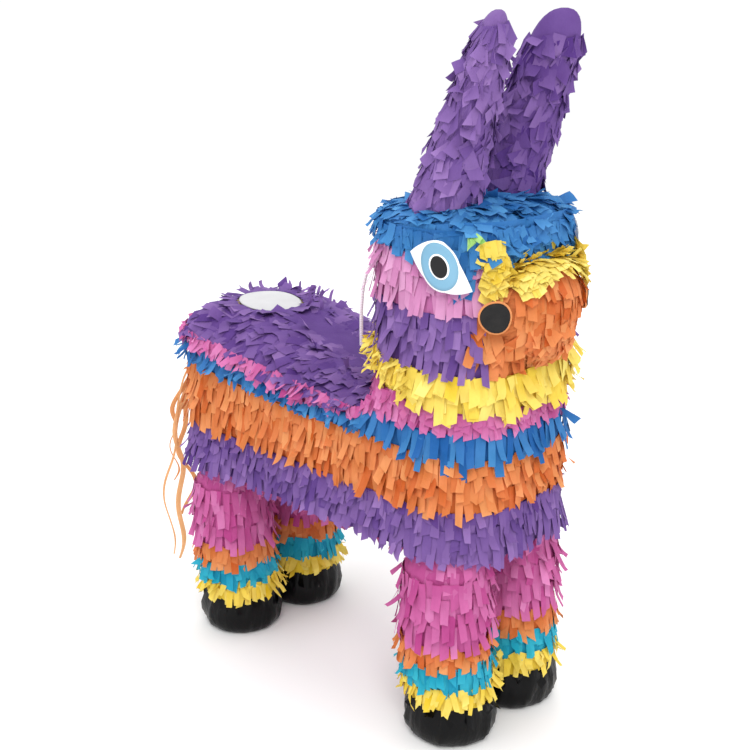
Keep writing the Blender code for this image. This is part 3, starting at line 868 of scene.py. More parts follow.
def back_frame(x, y):
    """Points on the card back, the way off it, and the way downhill from its middle."""
    step = 0.0005
    z = back_height(x, y)
    slope_x = (back_height(x + step, y) - back_height(x - step, y)) / (2 * step)
    slope_y = (back_height(x, y + step) - back_height(x, y - step)) / (2 * step)
    steep = np.clip(np.hypot(slope_x, slope_y), 1e-6, None)
    limit = np.minimum(1.0, 1.6 / steep)
    out = unit(np.column_stack((-slope_x * limit, -slope_y * limit, np.ones(len(x)))))
    return np.column_stack((x, y, z)), out


SADDLE_EDGE = dict(lift=9, lift_spread=5, lean=20, wild=0.04, curl=-10)
SADDLE_FLAT = dict(lift=2, lift_spread=2, lean=30, wild=0.015, curl=-4)


def saddle():
    sheet = Paper(31)
    columns = 56
    rows = 72
    ys = np.linspace(NAPE_Y - 0.030, RUMP_Y - 0.0008, rows)
    ts = np.sin(np.linspace(-1, 1, columns) * math.pi / 2)
    grid = []
    for y in ys:
        width = back_half_width(np.full(columns, y)) - 0.0004
        x = ts * width
        points, out = back_frame(x, np.full(columns, y))
        crumple = 0.0022 + sheet.rng.uniform(-0.0005, 0.0007, columns)
        grid.append(points + out * crumple[:, None])
    grid = np.stack(grid)
    hole = np.hypot(grid[..., 0], grid[..., 1] - HOLE_Y)
    index = np.arange(rows * columns).reshape(rows, columns)
    quads = np.stack((index[:-1, :-1], index[1:, :-1], index[1:, 1:], index[:-1, 1:]), axis=-1).reshape(-1, 4)
    rim = (hole > 0.0200) & (hole < 0.0345)
    flat = grid.reshape(-1, 3)
    clear = (hole.reshape(-1)[quads] > HOLE_CLEAR).all(axis=1)
    sheet.verts.append(flat)
    sheet.faces.append(quads[clear])
    # Tissue under the saddle's tabs, toned dark as painted shade between them, a little paler in the ring
    # round the hole.
    sheet.tint.append(np.where(rim.reshape(-1), 0.22, 0.16))
    sheet.count += len(flat)
    rng = sheet.rng
    middle_y = 0.055
    for inset in (0.0015, 0.008, 0.016, 0.025, 0.034, 0.044, 0.055):
        path = []
        for y in np.arange(NAPE_Y + 0.004, RUMP_Y - inset, 0.0058):
            reach = float(back_half_width(np.array([y]))[0]) - inset
            if y > RUMP_Y - CORNER:
                arc = (CORNER - inset) ** 2 - (y - (RUMP_Y - CORNER)) ** 2
                reach = HALF_WIDTH - CORNER + math.sqrt(max(arc, 0.0)) if inset < CORNER else 0.0
            if reach > 0.004:
                path += [(-reach, y), (reach, y)]
        reach = HALF_WIDTH - CORNER
        path += [(x, RUMP_Y - inset) for x in np.arange(-reach, reach + 0.001, 0.0058)]
        path = np.array(path) + rng.normal(0.0, 0.0011, (len(path), 2))
        away = np.hypot(path[:, 0], path[:, 1] - HOLE_Y)
        path = path[away > LABEL_CLEAR]
        x = np.clip(path[:, 0], -back_half_width(path[:, 1]) * 0.992, back_half_width(path[:, 1]) * 0.992)
        y = np.minimum(path[:, 1], RUMP_Y - 0.0015)
        points, out = back_frame(x, y)
        points = points + out * 0.0022
        flow = np.column_stack((x, np.maximum(y - middle_y, 0.0) * 0.8 + 0.004, np.zeros(len(x))))
        flow = flow - out * (flow * out).sum(1, keepdims=True)
        edge = inset < 0.005
        sheet.add_tabs(
            points, out, unit(flow), 0.0140 if edge else 0.0165, 0.0098, curl_spread=6, kink=6, wild_lift=80,
            least_lift=0.5, tone=0.36, **(SADDLE_EDGE if edge else SADDLE_FLAT),
        )
    turn = np.linspace(0, 2 * np.pi, 34, endpoint=False) + rng.normal(0, 0.05, 34)
    x = 0.0300 * np.cos(turn)
    y = HOLE_Y + 0.0300 * np.sin(turn)
    points, out = back_frame(x, y)
    flow = np.column_stack((np.cos(turn), np.sin(turn), np.zeros(34)))
    sheet.add_tabs(
        points + out * 0.0022, out, unit(flow), 0.015, 0.0095, lift=2, lift_spread=2, lean=20, wild=0.0,
        kink=5,
    )
    count = 70
    turn = rng.uniform(0.0, 2 * np.pi, count)
    reach = rng.uniform(0.033, 0.062, count)
    x = np.clip(reach * np.cos(turn), -0.060, 0.060)
    y = HOLE_Y + reach * np.sin(turn)
    chosen = (y < RUMP_Y - 0.010) & (x > 0.012)
    x, y = x[chosen], y[chosen]
    points, out = back_frame(x, y)
    flow = unit(np.column_stack((rng.normal(0, 1, len(x)), rng.normal(0, 1, len(x)), np.zeros(len(x)))))
    sheet.add_tabs(
        points + out * 0.003, out, flow, 0.0120, 0.0042, lift=55, lift_spread=20, lean=30, curl=30,
        curl_spread=40, kink=35, taper=0.5, tone=0.55,
    )
    sheet.build_tissue("purple_saddle_fringe", "purple", "saddle_fringe_purple")


# --- Legs and hooves ---


def leg_place(centre, turn, radius, z):
    """Points round a leg, which leans a little out and back, and is tucked in under the body's
    fringe at its top."""
    x, y, outward = centre
    tuck = smooth(0.136, 0.160, z)
    lean = LEG_LEAN * smooth(0.030, 0.090, z) * (1.0 - tuck)
    radius = radius - LEG_TUCK * tuck
    return np.column_stack((
        x + outward * lean + radius * np.cos(turn),
        y + lean + radius * np.sin(turn),
        z + 0.0 * turn,
    ))


def ring_row(sheet, centre, radius, z, count, length, width, **look):
    turn = circle(count, sheet.rng.uniform(-0.3, 0.3, count))
    out = np.column_stack((np.cos(turn), np.sin(turn), np.zeros(count)))
    points = leg_place(centre, turn, radius, z + sheet.rng.normal(0.0, 0.0010, count))
    down = straight_down(count)
    sheet.add_tabs(points, out, down, length, width, **look)


# Crumpled tissue under a leg's fringe; its low tone is painted shade in the gaps between the tabs.
def ring_skin(sheet, centre, radius, low, high, tone=0.14):
    turn = circle(RING_COLUMNS)
    grid = []
    for k in range(5):
        crumple = radius + sheet.rng.uniform(-0.0006, 0.0006, RING_COLUMNS)
        grid.append(leg_place(centre, turn, crumple, np.full(RING_COLUMNS, high + (low - high) * k / 4)))
    sheet.add_grid(grid, tone, wrap=True)


LEG_BANDS = (
    (
        "pink", 0.0845, 0.163,
        ((0.163, 0.143), (0.150, 0.131), (0.140, 0.120), (0.129, 0.109), (0.118, 0.097), (0.106, 0.0835)),
    ),
    ("orange", 0.067, 0.086, ((0.0880, 0.0745), (0.0830, 0.0655))),
    ("cyan", 0.049, 0.068, ((0.0700, 0.0565), (0.0650, 0.0475))),
    ("yellow", 0.034, 0.050, ((0.0520, 0.0380), (0.0470, 0.0330))),
)
NEAT_LEG = dict(lift=7, lift_spread=4, wild=0.04, lean=5, kink=9, taper=0.86)
SCRUFFY_LEG = dict(lift=20, lift_spread=12, wild=0.16, lean=17, kink=22, taper=0.6)


def legs():
    seed = 40
    for end, sign_y in (("front", -1), ("rear", 1)):
        for side, sign_x in SIDES:
            centre = (sign_x * LEG_X, sign_y * LEG_Y, sign_x)
            where = f"{end}_{side}"
            for colour, low, high, rows in LEG_BANDS:
                seed += 1
                sheet = Paper(seed)
                ring_skin(sheet, centre, LEG_RADIUS + LEG_SKIN_OFF, low, high)
                scruffy = colour == "yellow"
                count, width, look = (40, 0.0060, SCRUFFY_LEG) if scruffy else (36, 0.0068, NEAT_LEG)
                tone = 0.32 if colour == "pink" else 0.45
                for z, tip in rows:
                    ring_row(
                        sheet, centre, LEG_RADIUS + LEG_TAB_OFF, z, count, z - tip, width, tone=tone, **look,
                    )
                sheet.build_tissue(f"{colour}_leg_fringe_{where}", colour, f"leg_fringe_{colour}_{where}")
            hoof(seed + 300, centre, where)


def hoof(seed, centre, where):
    """Crinkled black paper wrapped round the foot, with a few loose tabs at its top."""
    sheet = Paper(seed)
    rng = sheet.rng
    columns = 64
    turn = circle(columns)
    profile = (
        (HOOF_RADIUS - 0.0040, HOOF_HEIGHT + 0.002),
        (HOOF_RADIUS - 0.0015, HOOF_HEIGHT * 0.82),
        (HOOF_RADIUS - 0.0002, HOOF_HEIGHT * 0.62),
        (HOOF_RADIUS, HOOF_HEIGHT * 0.42),
        (HOOF_RADIUS - 0.0012, HOOF_HEIGHT * 0.24),
        (HOOF_RADIUS - 0.0034, HOOF_HEIGHT * 0.11),
        (HOOF_RADIUS - 0.0062, HOOF_HEIGHT * 0.035),
        (HOOF_RADIUS - 0.0092, 0.0003),
        (HOOF_RADIUS - 0.0150, 0.0002),
        (0.0004, 0.0002),
    )
    phase = rng.uniform(0, 6.28, 5)
    grid = []
    for k, (radius, z) in enumerate(profile):
        folds = sum(
            0.00050 * np.sin(turn * count + p + 0.7 * k)
            for count, p in zip((7, 11, 17, 23, 5), phase)
        )
        loose = min(1.0, z / 0.006)
        r = radius + (folds + rng.normal(0, 0.0003, columns)) * loose * (radius > 0.01)
        grid.append(
            np.column_stack((centre[0] + r * np.cos(turn), centre[1] + r * np.sin(turn), np.full(columns, z)))
        )
    sheet.add_grid(grid, 0.25, wrap=True)
    ring_row(
        sheet, centre, HOOF_RADIUS - 0.0035, HOOF_HEIGHT + 0.001, 20, 0.0135, 0.0075, lift=9, lift_spread=7,
        wild=0.10, lean=16, tone=0.4, wild_lift=50,
    )
    sheet.build_tissue(f"black_hoof_{where}", "black", f"hoof_{where}")


def belly():
    """Pink tabs glued under the belly and hanging from the lower edge of the purple band."""
    sheet = Paper(51)
    rng = sheet.rng
    xs = np.linspace(-HALF_WIDTH + 0.006, HALF_WIDTH - 0.006, 28)
    ys = np.linspace(CHEST_Y + 0.014, RUMP_Y - 0.014, 60)
    grid = np.stack([
        np.column_stack((xs, np.full(28, y), BELLY_Z - 0.0012 + rng.uniform(-0.0006, 0.0006, 28))) for y in ys
    ])
    # Skin under the belly toned darkest of all, as painted shade on the underside and between the tabs.
    sheet.add_grid(grid[::-1], 0.08)
    x, y = np.meshgrid(np.arange(-0.054, 0.055, 0.009), np.arange(-0.145, 0.165, 0.012))
    x = x.ravel() + rng.uniform(-0.003, 0.003, x.size)
    y = y.ravel() + rng.uniform(-0.003, 0.003, y.size)
    clear = np.ones(len(x), bool)
    for sx in (-1, 1):
        for sy in (-1, 1):
            clear &= np.hypot(x - sx * LEG_X, y - sy * LEG_Y) > LEG_RADIUS + 0.006
    x, y = x[clear], y[clear]
    root = np.column_stack((x, y, np.full(len(x), BELLY_Z - 0.0014)))
    down = unit(np.column_stack((np.sign(x) * 0.8, rng.normal(0, 0.6, len(x)), np.full(len(x), -0.25))))
    sheet.add_tabs(
        root, np.tile(-UP, (len(x), 1)), down, 0.0145, 0.0072, lift=22, lift_spread=14, lean=25, wild=0.2,
        wild_lift=70,
    )
    sheet.build_tissue("pink_belly_fringe", "pink", "belly_fringe_pink")


# --- Ears ---

EAR_WIDE = np.array((0.70, -0.71, 0.0))
EAR_THICK = np.array((0.71, 0.70, 0.0))


def ear_points(sign, share, turn, grow):
    """Points round an ear, each at its own share of the ear's length and its own turn."""
    share = np.asarray(share, float)
    centre = EAR_BASE + (EAR_TIP - EAR_BASE) * share[..., None]
    end = np.sqrt(np.clip(1.0 - share**14, 0.0, 1.0))
    wide = (EAR_RADIUS - 0.0008 - 0.0072 * np.maximum(share, 0.0)) * end + grow
    thick = (EAR_RADIUS - 0.0160 * np.maximum(share, 0.0) ** 1.15) * end + grow
    point = centre + EAR_WIDE * (wide * np.cos(turn))[..., None] + EAR_THICK * (thick * np.sin(turn))[
        ..., None,
    ]
    point[..., 0] *= sign
    return point


def ear_normal(sign, share, turn):
    step = 0.002
    along = ear_points(sign, share + step, turn, 0.0) - ear_points(sign, share - step, turn, 0.0)
    round_it = ear_points(sign, share, turn + step, 0.0) - ear_points(sign, share, turn - step, 0.0)
    return unit(np.cross(round_it, along)) * sign, -unit(along)


def ears():
    for side, sign, seed in (("right", -1, 61), ("left", 1, 62)):
        cap = Paper(seed + 100)
        turn = circle(EAR_COLUMNS)
        shares = (0.50, 0.56, 0.62, 0.68, 0.74, 0.80, 0.86, 0.90, 0.935, 0.96, 0.98, 0.992, 0.9996)
        phase = cap.rng.uniform(0, 6.28, 4)
        grid = []
        for share in shares:
            ripple = sum(0.00035 * np.sin(turn * n + p + 9 * share) for n, p in zip((3, 5, 9, 13), phase))
            grow = 0.0014 + ripple * (1.0 - share**8)
            grid.append(ear_points(sign, np.full(EAR_COLUMNS, share), turn, grow))
        grid = np.stack(grid)[::-1] if sign > 0 else np.stack(grid)
        # The right ear's cap is paler than the left's: painted light on the near ear and painted shade on the
        # far one.
        cap.add_grid(grid, 0.55 if sign < 0 else 0.25, wrap=True)
        cap.build_tissue(f"purple_ear_cap_{side}", "purple", f"ear_{side}")
        sheet = Paper(seed)
        rng = sheet.rng
        grid = [
            ear_points(sign, np.full(EAR_COLUMNS, s), turn, 0.0012) for s in (-0.03, 0.15, 0.35, 0.55, 0.80)
        ]
        # Skin under the ear's tabs, toned dark as painted shade between them.
        sheet.add_grid(grid, 0.15, wrap=True)
        for share in np.arange(0.93 if sign < 0 else 0.86, -0.02, -0.055):
            count = 24
            where = circle(count, rng.uniform(-0.35, 0.35, count))
            at = share + rng.normal(0, 0.010, count)
            points = ear_points(sign, at, where, 0.0020)
            out, down = ear_normal(sign, at, where)
            # The right ear's tabs are likewise paler than the left's: painted light on the near ear, painted
            # shade on the far one.
            sheet.add_tabs(
                points, out, down, 0.0140, 0.0105, lift=2, lift_spread=3, lean=24, wild=0.035, wild_lift=75,
                curl=-5, curl_spread=9, kink=10, tone=0.62 if sign < 0 else 0.36, least_lift=1.0,
            )
        count = 36
        where = circle(count)
        points = ear_points(sign, np.full(count, 0.055), where, 0.002)
        out, down = ear_normal(sign, np.full(count, 0.055), where)
        sheet.add_tabs(
            points, out, down, 0.0120, 0.0070, lift=26, lift_spread=12, lean=22, wild=0.08, tone=0.8, kink=20,
        )
        sheet.build_tissue(f"purple_ear_fringe_{side}", "purple", f"ear_fringe_{side}")


# --- Muzzle ---


def face_y(x):
    past = np.clip(np.abs(x) - (HALF_WIDTH - CORNER), 0.0, CORNER)
    return CHEST_Y + CORNER - np.sqrt(CORNER**2 - past**2)


def muzzle_points(share, turn, grow):
    share = np.asarray(share, float)
    size = np.clip(1.0 - share**MUZZLE_ROUND, 0.0, 1.0) ** (1 / MUZZLE_ROUND)
    half_width = MUZZLE_HALF_WIDTH * size + grow
    half_height = MUZZLE_HALF_HEIGHT * size + grow
    power = np.where(np.sin(turn) < 0, MUZZLE_LOW_POWER, MUZZLE_TOP_POWER)
    across = np.sign(np.cos(turn)) * np.abs(np.cos(turn)) ** power
    up = np.sign(np.sin(turn)) * np.abs(np.sin(turn)) ** power
    x = half_width * across
    y = face_y(x) - 0.0008 - (MUZZLE_DEPTH + grow) * share
    z = MUZZLE_MIDDLE_Z + MUZZLE_CLIMB * share + half_height * up
    return np.stack((x, y, z), axis=-1)


def muzzle_frame(share, turn, grow):
    step = 0.003
    points = muzzle_points(share, turn, grow)
    forward = muzzle_points(share + step, turn, grow) - muzzle_points(share - step, turn, grow)
    round_it = muzzle_points(share, turn + step, grow) - muzzle_points(share, turn - step, grow)
    out = unit(np.cross(forward, round_it))
    centre = np.array((0.0, CHEST_Y, MUZZLE_MIDDLE_Z))
    facing = ((points - centre) * out).sum(-1, keepdims=True)
    return points, np.where(facing < 0, -out, out)


def muzzle_front(x, z, grow):
    """Points on the muzzle that show from the front at x and z, and the way off them."""

    def place(px, pz):
        share = np.full(px.shape, 0.5)
        for _ in range(6):
            over = pz - MUZZLE_MIDDLE_Z - MUZZLE_CLIMB * share
            power = 2.0 / np.where(over < 0, MUZZLE_LOW_POWER, MUZZLE_TOP_POWER)
            across = (np.abs(px) / (MUZZLE_HALF_WIDTH + grow)) ** power
            up = (np.abs(over) / (MUZZLE_HALF_HEIGHT + grow)) ** power
            size = np.clip(across + up, 0.0, 1.0) ** (1 / power)
            share = np.clip(1.0 - size**MUZZLE_ROUND, 0.0, 1.0) ** (1 / MUZZLE_ROUND)
        y = face_y(px) - 0.0008 - (MUZZLE_DEPTH + grow) * share
        return np.stack((px, y, pz), axis=-1)

    step = 0.0012
    points = place(x, z)
    along_x = place(x + step, z) - place(x - step, z)
    along_z = place(x, z + step) - place(x, z - step)
    out = unit(np.cross(along_x, along_z))
    return points, out


def hang_tabs(sheet, points, out, length, width, **look):
    """Tabs that hang down the surface from each point."""
    down = straight_down(len(points))
    down = unit(down - out * (down * out).sum(1, keepdims=True))
    sheet.add_tabs(points, out, down, length, width, **look)


def muzzle():
    """Orange tissue over the muzzle: pleated sides, hanging fringe in front, crumpled flaps below."""
    sheet = Paper(71)
    rng = sheet.rng
    columns = 220
    turn = circle(columns)
    grid = []
    shares = (0.0, 0.08, 0.16, 0.25, 0.35, 0.45, 0.55, 0.64, 0.72, 0.80, 0.87, 0.93, 0.97, 0.9999)
    for k, share in enumerate(shares):
        pleat = 0.0007 * np.sin(turn * 31 + 1.6 * np.sin(5 * turn) + 0.5 * k) + 0.0005 * np.sin(turn * 53 + k)
        crumple = rng.normal(0.0, 0.0003, columns)
        grow = 0.0014 + (pleat + crumple) * min(1.0, 1.6 * (1 - share) + 0.15)
        grid.append(muzzle_points(np.full(columns, share), turn, grow))
    sheet.add_grid(grid, 0.38, wrap=True)
    for z in (0.3180, 0.3290, 0.3400, 0.3510, 0.3610, 0.3690):
        x = np.arange(-0.034, 0.0341, 0.0052)
        x = x + rng.uniform(-0.0012, 0.0012, len(x))
        points, out = muzzle_front(x, np.full(len(x), z) + rng.normal(0, 0.0010, len(x)), 0.0018)
        hang_tabs(
            sheet, points, out, 0.0160, 0.0074, lift=3, lift_spread=3, lean=4, wild=0.02,
            kink=5, tone=0.38, curl=-12, curl_spread=7, least_lift=1.0,
        )
    count = 90
    x = rng.uniform(-0.041, 0.041, count)
    z = rng.uniform(0.308, 0.336, count)
    inside = (np.abs(x) / 0.0415) ** 1.6 + (np.abs(z - 0.3415) / 0.034) ** 1.6 < 0.97
    near_nostril = np.hypot(np.abs(x) - 0.040, z - 0.344) < 0.016
    x, z = x[inside & ~near_nostril], z[inside & ~near_nostril]
    points, out = muzzle_front(x, z, 0.0026)
    hang_tabs(
        sheet, points, out, 0.0125, 0.0100, lift=9, lift_spread=8, lean=42, wild=0.05,
        wild_lift=50, kink=26, tone=0.5, curl=-12, taper=0.6,
    )
    count = 16
    where = np.concatenate(
        (np.radians(rng.uniform(-28, 22, count)), np.pi - np.radians(rng.uniform(-28, 22, count))),
    )
    share = rng.uniform(0.12, 0.55, 2 * count)
    points, out = muzzle_frame(share, where, 0.0016)
    far = np.hypot(points[:, 1] + 0.1735, points[:, 2] - 0.344) > 0.017
    points, out = points[far], out[far]
    hang_tabs(
        sheet, points, out, 0.0150, 0.0110, lift=3, lift_spread=3, lean=16, wild=0.0, kink=10,
        tone=0.55, least_lift=1.0,
    )
    sheet.build_tissue("orange_muzzle_tissue", "orange", "muzzle_fringe_orange", "muzzle_cup")


BRIDGE_UPPER = dict(lift_spread=13, lean=20, wild=0.14, kink=26, curl=-20, curl_spread=20)
BRIDGE_LOWER = dict(lift_spread=5, lean=8, wild=0.03, kink=8, curl=-42, curl_spread=8)


def yellow_bridge():
    """Yellow fringe over the top of the muzzle in a crumpled upper layer and a smoother lower one,
    ending in a spur beside each nostril."""
    sheet = Paper(72)
    rng = sheet.rng
    columns = 60
    turn = np.radians(np.linspace(38, 142, columns))
    grid = []
    for share in (0.0, 0.12, 0.25, 0.40, 0.52, 0.64, 0.74):
        grow = 0.0030 + rng.uniform(-0.0005, 0.0005, columns)
        grid.append(muzzle_points(np.full(columns, share), turn, grow))
    sheet.add_grid(grid, 0.55)
    for share, lift, length, tone, low, high, count in (
        (0.60, 6, 0.0150, 0.95, 46, 134, 24),
        (0.45, 7, 0.0150, 0.95, 44, 136, 26),
        (0.30, 10, 0.0150, 0.80, 42, 138, 30),
        (0.16, 20, 0.0140, 0.50, 38, 142, 34),
        (0.03, 34, 0.0140, 0.45, 32, 148, 38),
        (0.00, 52, 0.0120, 0.45, 30, 150, 38),
    ):
        where = np.radians(np.linspace(low, high, count)) + rng.normal(0, 0.025, count)
        points, out = muzzle_frame(np.full(count, share), where, 0.0034)
        ahead = np.column_stack(
            (0.5 * points[:, 0] / MUZZLE_HALF_WIDTH, -np.ones(count), -0.2 * np.ones(count)),
        )
        ahead = unit(ahead - out * (ahead * out).sum(1, keepdims=True))
        look = BRIDGE_UPPER if share < 0.2 else BRIDGE_LOWER
        sheet.add_tabs(points, out, ahead, length, 0.0078, lift=lift, tone=tone, taper=0.7, **look)
    for sign, inset in ((-1, 0.0), (1, 0.0), (-1, 0.0035), (1, 0.0035), (-1, 0.0070), (1, 0.0070)):
        for k in range(20):
            s = k / 19
            x = sign * (0.0495 - inset + 0.0015 * math.sin(9 * s))
            top = 0.388 if sign > 0 else 0.398
            z = top + ((0.372 if inset else 0.365) - top) * s
            root = np.array([(x, float(face_y(np.array(x))) - 0.0080 - 0.0020 * s, z)])
            out = unit(np.array([(sign * 0.75, -0.66, 0.05)]))
            down = unit(np.array([(sign * -0.10, -0.10, -1.0)]))
            sheet.add_tabs(
                root, out, down, 0.0110, 0.0085, lift=16, lift_spread=9, lean=28, wild=0.0, kink=20, tone=0.5,
            )
    sheet.build_tissue("yellow_bridge_fringe", "yellow", "muzzle_fringe_yellow")


def face_frame(x, z, off):
    """Points on the front of the head at x and z, standing off the card, and the way off it."""
    past = np.clip((np.abs(x) - (HALF_WIDTH - CORNER)) / CORNER, 0.0, 1.0)
    out = np.column_stack((np.sign(x) * past, -np.sqrt(1.0 - past**2), np.zeros(len(x))))
    return np.column_stack((x, face_y(x), z)) + out * off, unit(out)


def face_skin(sheet, half_width, low, high, tone):
    """Crumpled tissue glued flat on the front of the head between two heights; callers give it a darker tone
    than the tabs over it, as painted shade between them.
    """
    x = np.linspace(-half_width, half_width, 44)
    grid = []
    for z in np.linspace(high, low, 12):
        y = face_y(x) - 0.0022 + sheet.rng.uniform(-0.0006, 0.0006, len(x))
        grid.append(np.column_stack((x, y, np.full(len(x), z))))
    sheet.add_grid(grid, tone)


def brow():
    """Blue strip above the yellow bridge and down between it and each eye, with a small light-green
    tuft beside the right eye."""
    sheet = Paper(73)
    rng = sheet.rng
    face_skin(sheet, 0.0585, 0.3500, 0.4100, 0.3)
    for z, off, length in ((0.3900, 0.0036, 0.0140), (0.3975, 0.0040, 0.0150), (0.4040, 0.0040, 0.0150)):
        x = np.linspace(-0.054, 0.054, 24) + rng.uniform(-0.0012, 0.0012, 24)
        root, out = face_frame(x, z + rng.normal(0, 0.001, 24), off)
        hang_tabs(sheet, root, out, length, 0.0082, lift=8, lean=12, wild=0.05, kink=15)
    for sign in (-1, 1):
        for z in (0.392, 0.384, 0.376, 0.369):
            x = sign * np.array((0.0535, 0.0570, 0.0600)) + rng.uniform(-0.0008, 0.0008, 3)
            root, out = face_frame(x, z + rng.normal(0, 0.001, 3), 0.0048)
            hang_tabs(sheet, root, out, 0.0130, 0.0062, lift=8, lift_spread=4, lean=12, wild=0.0, kink=12)
    sheet.build_tissue("blue_brow_fringe", "blue")
    tuft = Paper(74)
    x = -np.array((0.0515, 0.0530, 0.0545, 0.0530))
    root, out = face_frame(x, np.array((0.4010, 0.4020, 0.4010, 0.3995)), 0.0070)
    hang_tabs(tuft, root, out, 0.0070, 0.0045, lift=40, lean=40, wild=0.1, kink=25)
    tuft.build_tissue("green_brow_tuft", "green", slot="yellow")


def chin():
    """Orange tissue on the face beside and under the muzzle, down to the collar."""
    sheet = Paper(75)
    face_skin(sheet, 0.0530, 0.2900, 0.3520, 0.35)
    for z, length in ((0.3420, 0.0150), (0.3330, 0.0150), (0.3240, 0.0150), (0.3150, 0.0160)):
        x = np.linspace(-0.0515, 0.0515, 20) + sheet.rng.uniform(-0.0015, 0.0015, 20)
        root, out = face_frame(x, np.full(20, z), 0.0036)
        hang_tabs(sheet, root, out, length, 0.0085, lift=7, lean=16, wild=0.03, kink=16, tone=0.5)
    sheet.build_tissue("orange_chin_fringe", "orange")


# --- Face: printed paper eyes and nostrils ---


def cheek_point(sign, along, z, off):
    """Point off the rounded front corner of the head. along is the arc length in metres from the
    flank forwards."""
    radius = CORNER + off
    turn = np.pi + along / CORNER
    x = -(HALF_WIDTH - CORNER) + radius * np.cos(turn)
    y = CHEST_Y + CORNER + radius * np.sin(turn)
    return np.stack((-sign * x, y, z), axis=-1)


def patch(name, sign, centre, outline, off, material, nodes=(), rings=7):
    """Paper shape that follows the cheek. outline gives (along, up) offsets round its middle."""
    sheet = Paper(80)
    grid = []
    outline = np.asarray(outline)
    for k in range(rings):
        share = max(k / (rings - 1), 0.001)
        along = centre[0] + outline[:, 0] * share
        up = centre[1] + outline[:, 1] * share
        grid.append(cheek_point(sign, along, up, off))
    grid.append(cheek_point(sign, centre[0] + outline[:, 0], centre[1] + outline[:, 1], off - 0.0005))
    sheet.add_grid(grid, 0.5, wrap=True)
    sheet.build(name, material, nodes=nodes)


def eyes():
    """Printed paper eye: a pointed white almond, the pale blue iris, a white ring and the pupil."""
    turn = circle(120)
    span = np.cos(turn)
    past_top = np.where(span > 0.12, (span - 0.12) / 0.88, (0.12 - span) / 1.12)
    past_low = np.where(span > -0.15, (span + 0.15) / 1.15, (-0.15 - span) / 0.85)
    top = EYE_TOP * (1.0 - past_top**1.6)
    low = -EYE_LOW * (1.0 - past_low**2.0)
    rise = np.where(np.sin(turn) >= 0, top, low) - EYE_SLOPE * span
    almond = np.column_stack((EYE_HALF_LENGTH * span, rise))
    for side, sign in SIDES:
        patch(
            f"eye_white_{side}", sign, (EYE_ALONG, EYE_Z), almond, 0.0122, EYE_WHITE,
            nodes=[f"eye_{side}"],
        )
        for name, wide, high, off, material in (
            ("iris_edge", 0.0115, 0.0178, 0.0126, EYE_WHITE),
            ("iris", 0.0104, 0.0165, 0.0130, EYE_IRIS),
            ("pupil_ring", 0.0056, 0.0088, 0.0134, EYE_WHITE),
            ("pupil", 0.0046, 0.0076, 0.0138, INK),
        ):
            up = high * np.sin(turn)
            oval = np.column_stack((wide * np.cos(turn) - 0.144 * up, up))
            patch(f"eye_{name}_{side}", sign, (EYE_ALONG, EYE_Z + 0.0042), oval, off, material)


def nostrils():
    """Round black paper discs on the muzzle's sides, each on a slightly larger orange disc."""
    turn = circle(48)
    for side, sign in SIDES:
        out = unit(np.array((sign * 0.72, -0.69, 0.06)))
        centre = np.array(NOSTRIL_PLACE) * (sign, 1, 1) + out * 0.0045
        across = unit(np.cross(out, UP))
        up = unit(np.cross(across, out))
        for name, radius, forward, material, slot, nodes in (
            ("disc", 0.0104, 0.0016, NOSTRIL, "nostril_paper", [f"nostril_{side}"]),
            ("ring", 0.0117, 0.0006, TISSUE["orange"], "tissue_orange", []),
        ):
            sheet = Paper(90)
            grid = []
            for k in range(7):
                share = max(k / 6, 0.002)
                wobble = 1.0 + 0.03 * np.sin(3 * turn + 1.0) * share
                flat = across * np.cos(turn)[:, None] + up * np.sin(turn)[:, None]
                bow = 0.0010 * (1 - share**2) + 0.0003 * np.sin(5 * turn) * share
                grid.append(
                    centre + flat * (radius * share * wobble)[:, None] + out * (forward + bow)[:, None],
                )
            grid.append(grid[-1] - out * 0.0012)
            sheet.add_grid(grid, 0.85, wrap=True)
            sheet.build(f"nostril_{name}_{side}", material, nodes=nodes)


# --- Tail, label and the cord's ends ---


def ribbon(sheet, points, across, width, tone, tip, curl):
    """Paper strip along a run of points. across gives its flat side's direction at each end."""
    n = len(points)
    share = np.linspace(0, 1, n)[:, None]
    side = unit(across[0] * (1 - share) + across[1] * share)
    half = width / 2 * (1.0 - (1 - tip) * smooth(0.86, 1.0, share))
    face = unit(np.cross(side, unit(np.gradient(points, axis=0))))
    rows = np.stack(
        [points + side * half * s + face * curl * (abs(s)) for s in (-1.0, -0.5, 0.0, 0.5, 1.0)], axis=1,
    )
    sheet.add_grid(rows, tone)


TAIL_ROUTE = ((0.0, 0.1892, 0.240), (0.0, 0.200, 0.242), (0.0, 0.213, 0.237), (0.0, 0.221, 0.221))


